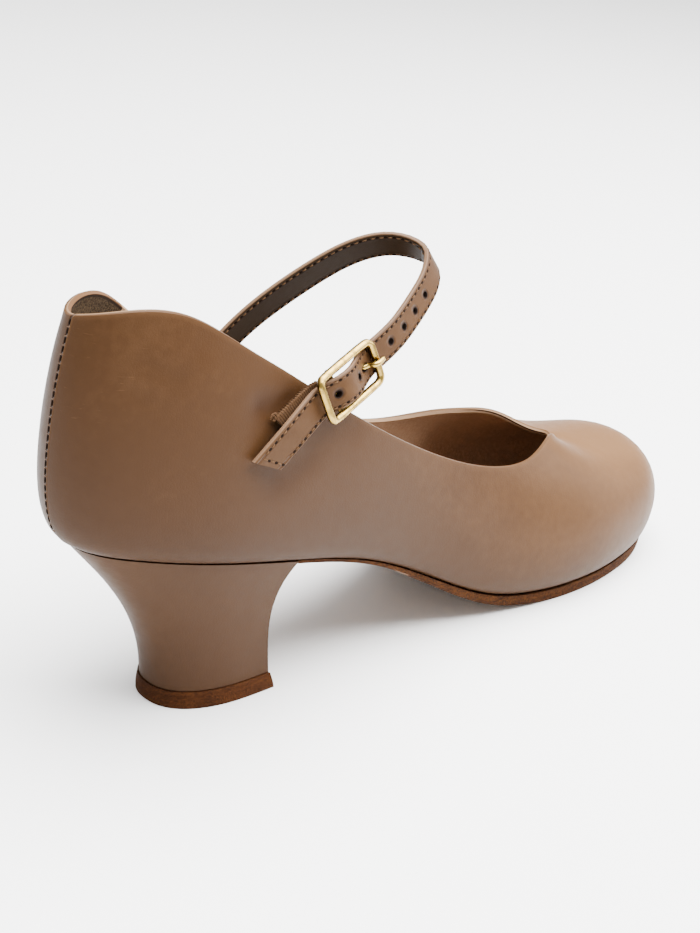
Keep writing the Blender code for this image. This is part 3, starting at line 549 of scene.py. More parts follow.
@dataclass(frozen=True)
class StudioFloor:
    """Plain pale studio floor."""

    name: str
    colour: Colour = (0.93, 0.925, 0.92)
    shade: Colour = (0.9, 0.9, 0.9)

    def build(self) -> Material:
        """Makes the material."""
        graph = Graph(self.name)
        broad = graph.noise(0.4, 1.0)
        return graph.finish(graph.blend(broad * 0.1, self.colour, self.shade), 0.6)


def place_piece(piece: Object, slot: str, *nodes: str) -> Object:
    """Makes a piece ride on the shoe and stand for its nodes.

    Args:
        piece: The piece, already in place.
        slot: Not used.
        nodes: The solids that it replaces.

    Returns:
        The piece.
    """
    if piece.name not in bpy.context.scene.collection.objects:
        bpy.context.scene.collection.objects.link(piece)
    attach(piece, BODY)
    if nodes:
        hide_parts(*nodes)
    LOG.info("%s: %d faces", piece.name, len(piece.data.polygons))
    return piece


def set_values(mesh: Mesh, name: str, values: Array) -> None:
    """Stores one number at each point of a mesh."""
    held = mesh.attributes.new(name, "FLOAT", "POINT")
    held.data.foreach_set("value", np.asarray(values, np.float32))


def rows_of(items: Any, name: str) -> Array:
    """One vector of each point or face, a row each."""
    found = np.empty(len(items) * 3, np.float32)
    items.foreach_get(name, found)
    return found.reshape(-1, 3)


def points_of(mesh: Mesh) -> Array:
    """The mesh's points, a row each."""
    return rows_of(mesh.vertices, "co").astype(float)


def set_points(mesh: Mesh, points: Array) -> None:
    """Moves the mesh's points."""
    mesh.vertices.foreach_set("co", points.astype(np.float32).ravel())
    mesh.update()


def point_normals(mesh: Mesh) -> Array:
    """The mesh's normals at its points, a row each."""
    return rows_of(mesh.vertices, "normal").astype(float)


def swell(mesh: Mesh, by: float) -> None:
    """Moves every point outwards."""
    set_points(mesh, points_of(mesh) + point_normals(mesh) * by)


def face_facts(mesh: Mesh) -> tuple[Array, Array]:
    """Middles and normals of the mesh's faces."""
    return rows_of(mesh.polygons, "center"), rows_of(mesh.polygons, "normal")


def set_slots(mesh: Mesh, which: Array) -> None:
    """Gives each face its material by number."""
    mesh.polygons.foreach_set("material_index", which.astype(np.int32))


def smooth_copy(node: str, name: str, crease: float, levels: int) -> Object:
    """A smooth, finer copy of a solid's surface, as a new piece.

    Args:
        node: The solid.
        name: The new piece's name.
        crease: Edges bent by more than this many degrees stay sharp.
        levels: How often each face is divided.

    Returns:
        The new object, not yet riding on anything.
    """
    shape = bmesh.new()
    shape.from_mesh(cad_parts[node].data)
    bmesh.ops.remove_doubles(shape, verts=shape.verts, dist=0.002 * MM)
    bmesh.ops.join_triangles(
        shape,
        faces=shape.faces,
        angle_face_threshold=math.radians(25),
        angle_shape_threshold=math.radians(60),
    )
    sharp = math.radians(crease)
    folds = shape.edges.layers.float.new("crease_edge")
    for edge in shape.edges:
        if len(edge.link_faces) == 2 and edge.calc_face_angle(0.0) > sharp:
            edge[folds] = 1.0
    mesh = bpy.data.meshes.new(name)
    shape.to_mesh(mesh)
    shape.free()
    piece = bpy.data.objects.new(name, mesh)
    if levels:
        bpy.context.scene.collection.objects.link(piece)
        divide = piece.modifiers.new("divide", "SUBSURF")
        divide.levels = divide.render_levels = levels
        made = bpy.data.meshes.new_from_object(piece.evaluated_get(bpy.context.evaluated_depsgraph_get()))
        piece.modifiers.clear()
        piece.data = made
        made.name = name
    piece.data.materials.clear()
    held = piece.data.attributes.get("custom_normal")
    if held is not None:
        piece.data.attributes.remove(held)
    piece.data.shade_smooth()
    piece.data.set_sharp_from_angle(angle=sharp)
    return piece


def search_tree(points: Array) -> KDTree:
    """A tree that finds the nearest of some points."""
    tree = KDTree(len(points))
    for i, point in enumerate(points):
        tree.insert(point, i)
    tree.balance()
    return tree


def surface_tree(mesh: Mesh) -> BVHTree:
    """A tree that answers rays and nearest points on a mesh."""
    faces = [tuple(f.vertices) for f in mesh.polygons]
    return BVHTree.FromPolygons([tuple(p) for p in points_of(mesh)], faces)


def mesh_piece(
    name: str, points: Sequence[Any], faces: Sequence[Any], look: Material
) -> Object:
    """A smooth shaded piece from points and faces."""
    mesh = bpy.data.meshes.new(name)
    mesh.from_pydata([tuple(p) for p in points], [], [tuple(f) for f in faces])
    mesh.shade_smooth()
    mesh.materials.append(look)
    return bpy.data.objects.new(name, mesh)


def ring(middle: Array, side: Array, other: Array, count: int) -> list[Array]:
    """Points round a middle, on the ellipse that two half axes give."""
    turns = [2 * math.pi * k / count for k in range(count)]
    return [middle + side * math.cos(turn) + other * math.sin(turn) for turn in turns]


def spline(knots: Array, values: Array, at: Array) -> Array:
    """Natural cubic spline through the knots.

    Args:
        knots: Rising places.
        values: One value at each place.
        at: Where it is read.

    Returns:
        The spline's values.
    """
    step = np.diff(knots)
    slope = np.diff(values) / step
    system = np.eye(len(knots))
    right = np.zeros(len(knots))
    for i in range(1, len(knots) - 1):
        system[i, i - 1 : i + 2] = step[i - 1], 2 * (step[i - 1] + step[i]), step[i]
        right[i] = 6 * (slope[i] - slope[i - 1])
    bend = np.linalg.solve(system, right)
    at = np.clip(at, knots[0], knots[-1])
    i = np.clip(np.searchsorted(knots, at, side="right") - 1, 0, len(knots) - 2)
    before, after = at - knots[i], knots[i + 1] - at
    curved = (bend[i] * after**3 + bend[i + 1] * before**3) / (6 * step[i])
    start = values[i] / step[i] - bend[i] * step[i] / 6
    end = values[i + 1] / step[i] - bend[i + 1] * step[i] / 6
    return curved + start * after + end * before


@dataclass
class StrapLine:
    """The strap's middle line, from inside the inner quarter to its tail, as the solid has it."""

    reach: float = 122.0 * MM
    half_span: float = 28.0 * MM
    top: float = 119.0 * MM
    ball_width: float = 76.0 * MM
    rear_edge: tuple[float, float] = (-0.6, 0.8)
    buckle_ahead: float = 1.1 * MM
    arch: tuple[tuple[float, float, float, float], ...] = (
        (0.512, 0.725, 0.688, -0.10),
        (0.584, 0.758, 0.752, -0.09),
        (0.664, 0.712, 0.820, -0.07),
        (0.743, 0.612, 0.879, -0.04),
        (0.819, 0.480, 0.933, -0.05),
        (0.887, 0.318, 0.977, -0.05),
        (0.945, 0.119, 1.001, -0.02),
        (0.986, -0.098, 1.000, 0.02),
        (1.000, -0.293, 0.984, 0.05),
        (0.973, -0.449, 0.954, 0.10),
        (0.913, -0.576, 0.914, 0.13),
        (0.834, -0.694, 0.869, 0.12),
        (0.743, -0.800, 0.829, 0.13),
    )
    tail: tuple[tuple[float, float, float], ...] = (
        (0.539, 0.757, 4.6 * MM),
        (0.470, 0.718, 3.1 * MM),
        (0.391, 0.655, 1.6 * MM),
    )

    def __post_init__(self) -> None:
        """Sets the line's rows, their leans and their distances along it."""
        skin = surface_tree(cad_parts["upper"].data)
        rest = np.array([HEEL_REST_X, LIFT_Y, 0.0])
        rows = [
            np.array([forward * self.reach, across * self.half_span, up * self.top]) - rest
            for forward, across, up, _ in self.arch
        ]
        leans = [row[3] for row in self.arch]
        below = len(rows)
        for forward, up, off in self.tail:
            start = Vector((forward * self.reach - HEEL_REST_X, -self.ball_width, up * self.top))
            spot, normal, _, _ = skin.ray_cast(start, Vector((0, 1, 0)))
            normal = normal if normal.y < 0 else -normal
            rows.append(np.array(spot + normal * off))
            leans.append(-(self.rear_edge[0] * normal.x + self.rear_edge[1] * normal.z) / normal.y)
        rows.insert(below, (rows[below - 1] + rows[below]) / 2)
        leans.insert(below, (leans[below - 1] + leans[below]) / 2)
        self.rows = np.array(rows)
        self.leans = np.array(leans)
        self.run = np.concatenate([[0], np.cumsum(np.linalg.norm(np.diff(self.rows, axis=0), axis=1))])
        self.length = float(self.run[-1])
        self.buckle = float(self.run[below]) + self.buckle_ahead

    def middle(self, at: Array) -> Array:
        """Points of the middle line at distances along it."""
        return np.stack([spline(self.run, self.rows[:, k], at) for k in range(3)], axis=-1)

    def ways(self, at: Sequence[float]) -> tuple[Array, Array, Array, Array]:
        """Middle, forward, rear edge and outer face directions at distances along the strap."""
        at = np.atleast_1d(np.asarray(at, float))
        along = self.middle(at + 0.5 * MM) - self.middle(at - 0.5 * MM)
        along /= np.linalg.norm(along, axis=1, keepdims=True)
        lean = spline(self.run, self.leans, at)
        ahead, up = (np.full(len(at), share) for share in self.rear_edge)
        rear = np.stack([ahead, lean, up], axis=1)
        rear -= along * np.sum(rear * along, axis=1, keepdims=True)
        rear /= np.linalg.norm(rear, axis=1, keepdims=True)
        return self.middle(at), along, rear, np.cross(rear, along)

    def read(self, points: Array) -> tuple[Array, Array, Array]:
        """Where points lie on the strap.

        Args:
            points: Points near the strap.

        Returns:
            Distance along, distance to the rear edge's side and distance outwards.
        """
        stops = np.arange(0, self.length, 0.4 * MM)
        middle, ahead, rear, out = self.ways(stops)
        tree = search_tree(middle)
        near = np.array([tree.find(p)[1] for p in points])
        away = points - middle[near]
        along = stops[near] + np.sum(away * ahead[near], axis=1)
        return along, np.sum(away * rear[near], axis=1), np.sum(away * out[near], axis=1)

    def mark(self, mesh: Mesh, *names: str) -> tuple[Array, Array]:
        """Stores where the points of a mesh lie on the strap.

        Args:
            mesh: The mesh of a piece on the strap.
            names: What is stored: along and across in millimetres, and out, 1 where a point faces outwards.

        Returns:
            Distances along the strap and to its rear edge's side.
        """
        along, across, _ = self.read(points_of(mesh))
        facing = np.sum(point_normals(mesh) * self.ways(along)[3], axis=1)
        found = {"along": along / MM, "across": across / MM, "out": facing}
        for name in names:
            set_values(mesh, name, found[name])
        return along, across


@dataclass
class Stitches:
    """Rows of stitches that lie on a surface: thread between needle holes drawn as dark discs of painted
    shade.
    """

    name: str
    slot: str
    thread: Material
    hole: Material | None = None
    radius: float = 0.19 * MM
    hole_radius: float = 0.42 * MM
    stretch: float = 1.3
    sides: int = 6
    hole_sides: int = 8
    hole_crown: float = 0.12 * MM
    hole_lift: float = 0.02 * MM

    def __post_init__(self) -> None:
        """Starts with no stitch."""
        self.points: list[Array] = []
        self.faces: list[tuple[int, ...]] = []
        self.hole_points: list[Array] = []
        self.hole_faces: list[tuple[int, ...]] = []

    def add_thread(self, line: Array, out: Array, radii: Sequence[float]) -> None:
        """Adds one closed strand.

        Args:
            line: Its middle points.
            out: Direction away from the surface.
            radii: Its radius at each point.
        """
        ahead = np.gradient(line, axis=0)
        ahead /= np.linalg.norm(ahead, axis=1, keepdims=True)
        start = len(self.points)
        for point, way, radius in zip(line, ahead, radii):
            side = np.cross(way, out)
            side /= np.linalg.norm(side)
            self.points += ring(point, side * radius, np.cross(side, way) * radius, self.sides)
        n = self.sides
        for step in range(len(line) - 1):
            a = start + step * n
            self.faces += [(a + k, a + (k + 1) % n, a + n + (k + 1) % n, a + n + k) for k in range(n)]
        last = start + (len(line) - 1) * n
        self.faces += [tuple(range(start + n - 1, start - 1, -1)), tuple(range(last, last + n))]

    def add_hole(self, point: Array, out: Array, along: Array, stretch: float) -> None:
        """Adds one needle hole, a low dark disc of painted shade on the surface.

        Args:
            point: Its middle on the surface.
            out: Direction away from the surface.
            along: Direction of the row.
            stretch: How much longer than wide it is.
        """
        start = len(self.hole_points)
        along, side = along * self.hole_radius * stretch, np.cross(out, along) * self.hole_radius
        self.hole_points.append(point + out * self.hole_crown)
        self.hole_points += ring(point + out * self.hole_lift, along, side, self.hole_sides)
        n = self.hole_sides
        self.hole_faces += [(start, start + 1 + k, start + 1 + (k + 1) % n) for k in range(n)]

    def add_run(self, ends: Array, outs: Array, show: float = 0.50) -> None:
        """Adds a row of stitches.

        Args:
            ends: Points of the needle holes on the surface.
            outs: Outward directions there.
            show: Share of each step that the thread shows over.
        """
        shares = 0.5 + show * np.array([-0.5, -0.25, 0.25, 0.5])
        rise = np.array([-0.5, 0.45, 0.45, -0.5]) * self.radius
        radii = np.array([0.6, 1.0, 1.0, 0.6]) * self.radius
        for a, b, out in zip(ends[:-1], ends[1:], outs[:-1]):
            way = b - a
            self.add_thread(a + way * shares[:, None] + out * rise[:, None], out, radii)
            if self.hole is not None:
                self.add_hole(a, out, way / np.linalg.norm(way), self.stretch)

    def dress(self) -> None:
        """Makes the pieces."""
        place_piece(mesh_piece(self.name, self.points, self.faces, self.thread), self.slot)
        if self.hole_points:
            holes = mesh_piece(self.name + "_holes", self.hole_points, self.hole_faces, self.hole)
            place_piece(holes, self.slot)


@dataclass(frozen=True)
class Fold:
    """A soft trough or ridge in the upper, along a short line, in millimetres, with painted shade along it
    where shade is below zero and a painted highlight where it is above.
    """

    start: tuple[float, float, float]
    end: tuple[float, float, float]
    width: float
    depth: float
    # Painted shade below zero, painted highlight above zero.
    shade: float = 0.0

    def share(self, points: Array) -> Array:
        """How much of the fold reaches each point, 1 on its line."""
        start, end = np.array(self.start) * MM, np.array(self.end) * MM
        way = end - start
        along = np.clip((points - start) @ way / (way @ way), 0, 1)
        away = np.linalg.norm(points - start - along[:, None] * way, axis=1)
        return np.exp(-((away / (self.width * MM)) ** 2))


@dataclass
class Upper:
    """The lasted upper with its topline, back seam, folds and lining."""

    leather: Leather
    lining: Lining
    counter_lining: Lining
    thread: Thread
    slot: Thread
    counter_end: float = -14.0 * MM
    seam_heights: tuple[float, float] = (59.5 * MM, 116.5 * MM)
    seam_pitch: float = 2.3 * MM
    seam_stitch: tuple[tuple[float, float], ...] = ((1.5, 0.35), (2.05, 0.2), (3.0, -0.1), (3.55, -0.3))
    slot_across: float = 2.85
    slot_shares: tuple[float, ...] = (0.2, 0.35, 0.65, 0.8)
    # Painted highlight that grows toward the toe.
    toe_painted_highlight: float = 0.38
    # Painted shade where the wall faces sideways or down.
    side_painted_shade: float = 0.40
    vamp_spot: tuple[float, float] = (144.0, -12.0)
    vamp_reach: float = 17.0 * MM
    folds: tuple[Fold, ...] = (
        Fold((0.0, -23.0, 93.2), (10.0, -21.8, 92.6), 3.8, 0.9, -0.60),
        Fold((-2.0, -24.0, 88.0), (4.0, -23.5, 84.0), 4.0, 0.25, -0.12),
        Fold((-14.0, -22.0, 105.0), (-6.0, -23.0, 101.0), 5.0, -0.15, 0.06),
        Fold((-32.0, -14.0, 108.0), (-24.0, -19.0, 104.0), 2.6, 0.16, -0.06),
        Fold((-38.0, -9.0, 103.0), (-31.0, -16.0, 99.0), 2.0, 0.12, -0.05),
        Fold((4.0, -25.0, 72.5), (15.0, -24.5, 76.0), 5.0, 0.35, -0.45),
        Fold((24.0, -23.0, 84.0), (34.0, -22.5, 80.0), 5.0, 0.20, -0.20),
        # A painted highlight over the toe, with no trough.
        Fold((152.0, 2.0, 41.0), (182.0, 2.0, 36.0), 22.0, 0.0, 0.75),
        Fold((100.0, -25.0, 32.0), (112.0, -32.0, 20.0), 6.0, 0.15, -0.04),
    )

    def build(self) -> Object:
        """Makes the smooth wall, with its folds, its even vamp, and painted shade and painted highlights in
        its tone.
        """
        piece = smooth_copy("upper", "upper_leather", 52.0, 2)
        mesh = piece.data
        points = points_of(mesh)
        tone = np.zeros(len(points))
        moved = points.copy()
        for fold in self.folds:
            share = fold.share(points)
            inward = np.array([0.0, 1.0 if fold.start[1] < 0 else -1.0, -0.15])
            moved += share[:, None] * inward * fold.depth * MM
            # Painted shade in the folds' troughs and painted highlights on their ridges.
            tone += share * fold.shade
        # Painted highlight, growing toward the toe.
        tone += self.toe_painted_highlight * np.clip((points[:, 0] - 60 * MM) / (100 * MM), 0, 1)
        # Painted shade where the wall faces sideways or down.
        tone -= self.side_painted_shade * np.clip((0.15 - point_normals(mesh)[:, 2]) / 0.6, 0, 1)
        set_points(mesh, self.evened(mesh, moved))
        set_values(mesh, "tone", tone)
        return piece

    def evened(self, mesh: Mesh, points: Array) -> Array:
        """Lays the vamp beside the throat on one even curved face, with the topline's edge kept.

        Args:
            mesh: The wall's mesh.
            points: Where its points are.

        Returns:
            The points with the vamp made even.
        """
        flat = (points[:, :2] - np.array(self.vamp_spot) * MM) / self.vamp_reach
        near = np.linalg.norm(flat, axis=1)
        outside = point_normals(mesh)[:, 2] > 0.30
        rim = self.rim_distance(mesh, points)
        used = outside & (near < 1.3) & (rim > 1.6 * MM) & (points[:, 2] > 22 * MM)

        def powers(spots: Array) -> Array:
            """Products of powers of both coordinates, up to the fourth."""
            pairs = [(i, j) for i in range(5) for j in range(5 - i)]
            return np.stack([spots[:, 0] ** i * spots[:, 1] ** j for i, j in pairs], axis=1)

        fit, *_ = np.linalg.lstsq(powers(flat[used]), points[used, 2], rcond=None)
        off = powers(flat[used]) @ fit - points[used, 2]
        tree = search_tree(np.column_stack((flat[used], np.zeros(int(used.sum())))))
        moved = points.copy()
        for k in np.flatnonzero((near < 1.25) & (points[:, 2] > 20 * MM)):
            shift = np.mean([off[found[1]] for found in tree.find_n((*flat[k], 0.0), 8)])
            share = min(max((1.25 - near[k]) / 0.5, 0.0), max(rim[k] - 0.4 * MM, 0.0) / (3.2 * MM), 1.0)
            moved[k, 2] += shift * share * share * (3 - 2 * share)
        return moved

    def rim_distance(self, mesh: Mesh, points: Array) -> Array:
        """Distance of points to the topline, where the inner and the outer faces meet."""
        sides: dict[tuple[int, int], set[bool]] = {}
        for polygon, inside in zip(mesh.polygons, self.inner_faces(mesh)):
            for key in polygon.edge_keys:
                sides.setdefault(key, set()).add(bool(inside))
        edge = [key for key, found in sides.items() if len(found) == 2]
        middle = np.array([(points[a] + points[b]) / 2 for a, b in edge])
        high = middle[:, 2] > self.bed_heights(middle[:, 0]) + 16 * MM
        tree = search_tree(middle[high])
        return np.array([tree.find(p)[2] for p in points])

    def bed_heights(self, forward: Array) -> Array:
        """Heights of the insole under some stations."""
        insole = points_of(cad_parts["insole"].data)
        edges = np.linspace(insole[:, 0].min(), insole[:, 0].max(), 40)
        heights = [insole[abs(insole[:, 0] - edge) < 6 * MM, 2].max() for edge in edges]
        return np.interp(forward, edges, heights)

    def inner_faces(self, mesh: Mesh) -> Array:
        """Which faces look at the foot."""
        middles, normals = face_facts(mesh)
        slices = np.linspace(middles[:, 0].min(), middles[:, 0].max(), 60)
        centres = []
        for at in slices:
            near = abs(middles[:, 0] - at) < 5 * MM
            centres.append((middles[near, 1].min() + middles[near, 1].max()) / 2)
        axis = np.stack(
            [
                np.clip(middles[:, 0], -26 * MM, 168 * MM),
                np.interp(middles[:, 0], slices, centres),
                self.bed_heights(middles[:, 0]) + 12 * MM,
            ],
            axis=1,
        )
        away = middles - axis
        away[:, 2] = np.where(middles[:, 0] < 70 * MM, 0.0, away[:, 2])
        return np.sum(away * normals, axis=1) < 0

    def dress(self, piece: Object) -> None:
        """Gives the wall its leather, its linings and its distance from the topline.

        Args:
            piece: The wall.
        """
        mesh = piece.data
        for finish in (self.leather, self.lining, self.counter_lining):
            mesh.materials.append(finish.build())
        inner = self.inner_faces(mesh)
        middles, _ = face_facts(mesh)
        set_slots(mesh, np.where(inner, np.where(middles[:, 0] < self.counter_end, 2, 1), 0))
        set_values(mesh, "rim", self.rim_distance(mesh, points_of(mesh)))
        place_piece(piece, "upper_leather", "upper")
        self.sew_back(surface_tree(mesh))

    def sew_back(self, skin: BVHTree) -> None:
        """Sews the back seam: dark slots of painted shade beside the lapped edge, with thread drawn over it.

        Args:
            skin: The finished wall.
        """
        rows = Stitches("back_seam_stitching", "upper_leather", self.thread.build())
        dark = Stitches("back_seam_slots", "upper_leather", self.slot.build())
        out = np.array((-1.0, 0.0, 0.0))
        thread_radii = np.array([0.14, 0.17, 0.17, 0.12]) * MM
        slot_radii = np.array([0.22, 0.36, 0.36, 0.22]) * MM

        def on_skin(across: float, height: float) -> Array:
            """The point of the wall straight ahead of a place behind the heel."""
            start = Vector((-80 * MM, across * MM, height))
            spot = skin.ray_cast(start, Vector((1, 0, 0)))[0]
            return np.array(start if spot is None else spot)

        for height in np.arange(*self.seam_heights, self.seam_pitch):
            drawn = [on_skin(across, height + up * MM) for across, up in self.seam_stitch]
            rows.add_thread(np.array(drawn) + out * 0.06 * MM, out, thread_radii)
            slit = [on_skin(self.slot_across, height + self.seam_pitch * share) for share in self.slot_shares]
            dark.add_thread(np.array(slit), out, slot_radii)
        rows.dress()
        dark.dress()


@dataclass
class Bottom:
    """Insole, outsole, heel and top lift."""

    sock: Leather
    sole_edge: CutEdge
    sole_face: Suede
    cover: Leather
    lift_edge: CutEdge
    lift_face: CutEdge
    feather_lift: float = 0.2 * MM
    walking: float = -0.7

    def dress(self) -> None:
        """Dresses the four pieces."""
        self.dress_insole()
        self.dress_sole()
        self.dress_heel()
        self.dress_lift()

    def finish_layer(self, mesh: Mesh, edge: CutEdge, face: Suede | CutEdge) -> None:
        """Gives a layer one finish on its edge and another where it is walked on.

        Args:
            mesh: The layer's mesh.
            edge: Its edge's finish.
            face: Its walking face's finish.
        """
        for finish in (edge, face):
            mesh.materials.append(finish.build())
        _, normals = face_facts(mesh)
        set_slots(mesh, np.where(normals[:, 2] < self.walking, 1, 0))

    def dress_insole(self) -> None:
        """The sock that lines the foot bed."""
        piece = smooth_copy("insole", "sock_lining", 40.0, 1)
        set_values(piece.data, "tone", np.zeros(len(piece.data.vertices)))
        piece.data.materials.append(self.sock.build())
        place_piece(piece, "sock_leather", "insole")

    def dress_sole(self) -> None:
        """The outsole: sanded edge, brushed walking face."""
        piece = smooth_copy("outsole", "sole_leather", 40.0, 1)
        mesh = piece.data
        points = points_of(mesh)
        upper = surface_tree(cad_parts["upper"].data)
        reach = np.array([upper.find_nearest(Vector(p))[3] / MM for p in points])
        # Distance to the upper, which places the painted shade line at the feather.
        set_values(mesh, "feather", reach)
        points[:, 2] += np.clip(1.6 - reach, 0, 1) * self.feather_lift
        set_points(mesh, points)
        self.finish_layer(mesh, self.sole_edge, self.sole_face)
        place_piece(piece, "sole_leather", "outsole")

    def dress_heel(self) -> None:
        """The covered heel, with painted shade toward its foot."""
        piece = smooth_copy("heel", "heel_cover", 45.0, 1)
        mesh = piece.data
        points = points_of(mesh)
        # Painted shade: the cover darkens toward the heel's foot.
        low = np.clip((30 * MM - points[:, 2]) / (25 * MM), 0, 1)
        set_values(mesh, "tone", -0.28 * low - 0.06)
        mesh.materials.append(self.cover.build())
        place_piece(piece, "heel_cover", "heel")

    def dress_lift(self) -> None:
        """The wearing piece under the heel."""
        piece = smooth_copy("top_lift", "top_lift_fibre", 40.0, 1)
        self.finish_layer(piece.data, self.lift_edge, self.lift_face)
        # Distance below the lift's top, which places the painted shade line under the heel.
        set_values(piece.data, "feather", 5.6 - points_of(piece.data)[:, 2] / MM)
        place_piece(piece, "lift_fibre", "top_lift")


@dataclass
class Strap:
    """The strap with its edge stitching and punched holes."""

    line: StrapLine
    leather: Leather
    thread: Thread
    needle_hole: Thread
    width: float = 8.8 * MM
    stitch_in: float = 1.05 * MM
    pitch: float = 2.35 * MM
    tail_cut: float = 4.3 * MM
    first_stitch: float = 8.0 * MM
    last_stitch: float = 2.2 * MM
    first_hole: float = 20.6 * MM
    hole_pitch: float = 6.6 * MM
    holes_in_frame: tuple[float, ...] = (-2.6 * MM, 6.8 * MM)
    prong_hole: float = 7.3 * MM

    def hole_stops(self) -> list[float]:
        """Distances along the strap of its round holes."""
        stops = [self.line.buckle - self.first_hole - self.hole_pitch * k for k in range(4)]
        return stops + [self.line.buckle + off for off in (-self.prong_hole, *self.holes_in_frame)]

    def build(self) -> Object:
        """The strap's surface with its own measure along, across and out."""
        piece = smooth_copy("strap", "strap_leather", 32.0, 0)
        along, _ = self.line.mark(piece.data, "across", "out", "along")
        set_values(piece.data, "tone", np.full(len(along), 0.16))
        finish = replace(self.leather, holes=tuple(stop / MM for stop in self.hole_stops()))
        piece.data.materials.append(finish.build())
        return place_piece(piece, "strap_leather", "strap")

    def spots(
        self, skin: BVHTree, along: Array, across: Array, side: Side
    ) -> tuple[Array, Array]:
        """Points on the strap's face under places measured on it.

        Args:
            skin: The strap's surface.
            along: Distances along the strap.
            across: Distances to the rear edge's side.
            side: Which face.

        Returns:
            Points and outward directions; places off the strap are left out.
        """
        middle, _, rear, out = self.line.ways(along)
        found, outs = [], []
        for m, r, o, a in zip(middle, rear, out, across):
            way = Vector(o * side.value)
            start = Vector(m + r * a) + way * 5 * MM
            spot = skin.ray_cast(start, -way)[0]
            if spot is not None:
                found.append(np.array(spot))
                outs.append(np.array(way))
        return np.array(found), np.array(outs)

    def stitch(self, piece: Object) -> None:
        """Sews both edges and round the tail."""
        skin = surface_tree(piece.data)
        rows = Stitches("strap_stitching", "strap_leather", self.thread.build(), self.needle_hole.build())
        inset = self.width / 2 - self.stitch_in
        end = self.line.length - self.last_stitch
        for side in Side:
            for edge in (-inset, inset):
                last = end + edge / self.width * self.tail_cut
                stops = np.arange(self.first_stitch, last, self.pitch)
                spots, outs = self.spots(skin, stops, np.full(len(stops), edge), side)
                rows.add_run(spots, outs)
        across = np.linspace(-inset, inset, 4)
        stops = end + across / self.width * self.tail_cut
        spots, outs = self.spots(skin, stops, across, Side.OUTER)
        rows.add_run(spots, outs)
        rows.dress()


@dataclass
class Buckle:
    """Frame, prong and elastic tab."""

    line: StrapLine
    brass: PaleBrass
    elastic: Elastic
    thread: Thread
    coil_pitch: float = 0.62 * MM
    coil_reach: float = 0.55 * MM
    tab_shift: float = 0.9 * MM
    swelling: float = 0.22 * MM
    loose_loops: tuple[tuple[float, float], ...] = ((0.4, 0.8), (1.1, 0.65), (0.8, 1.0))

    def build(self) -> None:
        """Makes the metal and the tab."""
        metal = self.brass.build()
        for node in ("buckle_frame", "buckle_prong"):
            piece = smooth_copy(node, node + "_brass", 60.0, 2)
            # How far each point faces outwards, for the painted shade on the metal's sides.
            self.line.mark(piece.data, "out")
            swell(piece.data, self.swelling)
            piece.data.materials.append(metal)
            place_piece(piece, "pale_brass", node)
        piece = smooth_copy("buckle_tab", "elastic_tab", 40.0, 1)
        along, across = self.line.mark(piece.data, "along", "across")
        rear = self.line.ways(along)[2]
        far = np.clip((across - across.max() + 3 * MM) / (2.5 * MM), 0, 1)
        set_points(piece.data, points_of(piece.data) - rear * far[:, None] * self.tab_shift)
        piece.data.materials.append(self.elastic.build())
        place_piece(piece, "elastic", "buckle_tab")
        self.sew_tab(piece)

    def sew_tab(self, piece: Object) -> None:
        """Overcasts the tab's rear edge, with loose loops at its end.

        Args:
            piece: The tab.
        """
        points = points_of(piece.data)
        along, across, _ = self.line.read(points)
        stops = np.arange(along.min() + 4 * MM, along.max() - 0.3 * MM, self.coil_pitch)
        coil = Stitches("tab_stitching", "elastic", self.thread.build(), radius=0.20 * MM)
        _, ahead, rear, out = self.line.ways(stops)
        for stop, way, side, up in zip(stops, ahead, rear, out):
            near = points[abs(along - stop) < 1.2 * MM]
            if not len(near):
                continue
            edge = near[np.argmax(near @ side)]
            turns = np.linspace(-0.4 * math.pi, 1.1 * math.pi, 7)
            middle = edge - side * 0.4 * MM
            line = [
                middle + (side * math.sin(t) + up * math.cos(t)) * self.coil_reach + way * t * 0.10 * MM
                for t in turns
            ]
            coil.add_thread(np.array(line), way, [coil.radius] * len(turns))
        tip = points[np.argmax(along + across)]
        way, side, up = ahead[-1], rear[-1], out[-1]
        turns = np.linspace(0, 1.8 * math.pi, 12)
        for shift, size in self.loose_loops:
            middle = tip + (way * (shift - 0.6) + side * 0.3 + up * 0.3) * MM
            line = [
                middle + ((way * math.cos(t) + side * math.sin(t)) * size + up * 0.04 * t) * MM
                for t in turns
            ]
            coil.add_thread(np.array(line), up, [coil.radius] * len(turns))
        coil.dress()


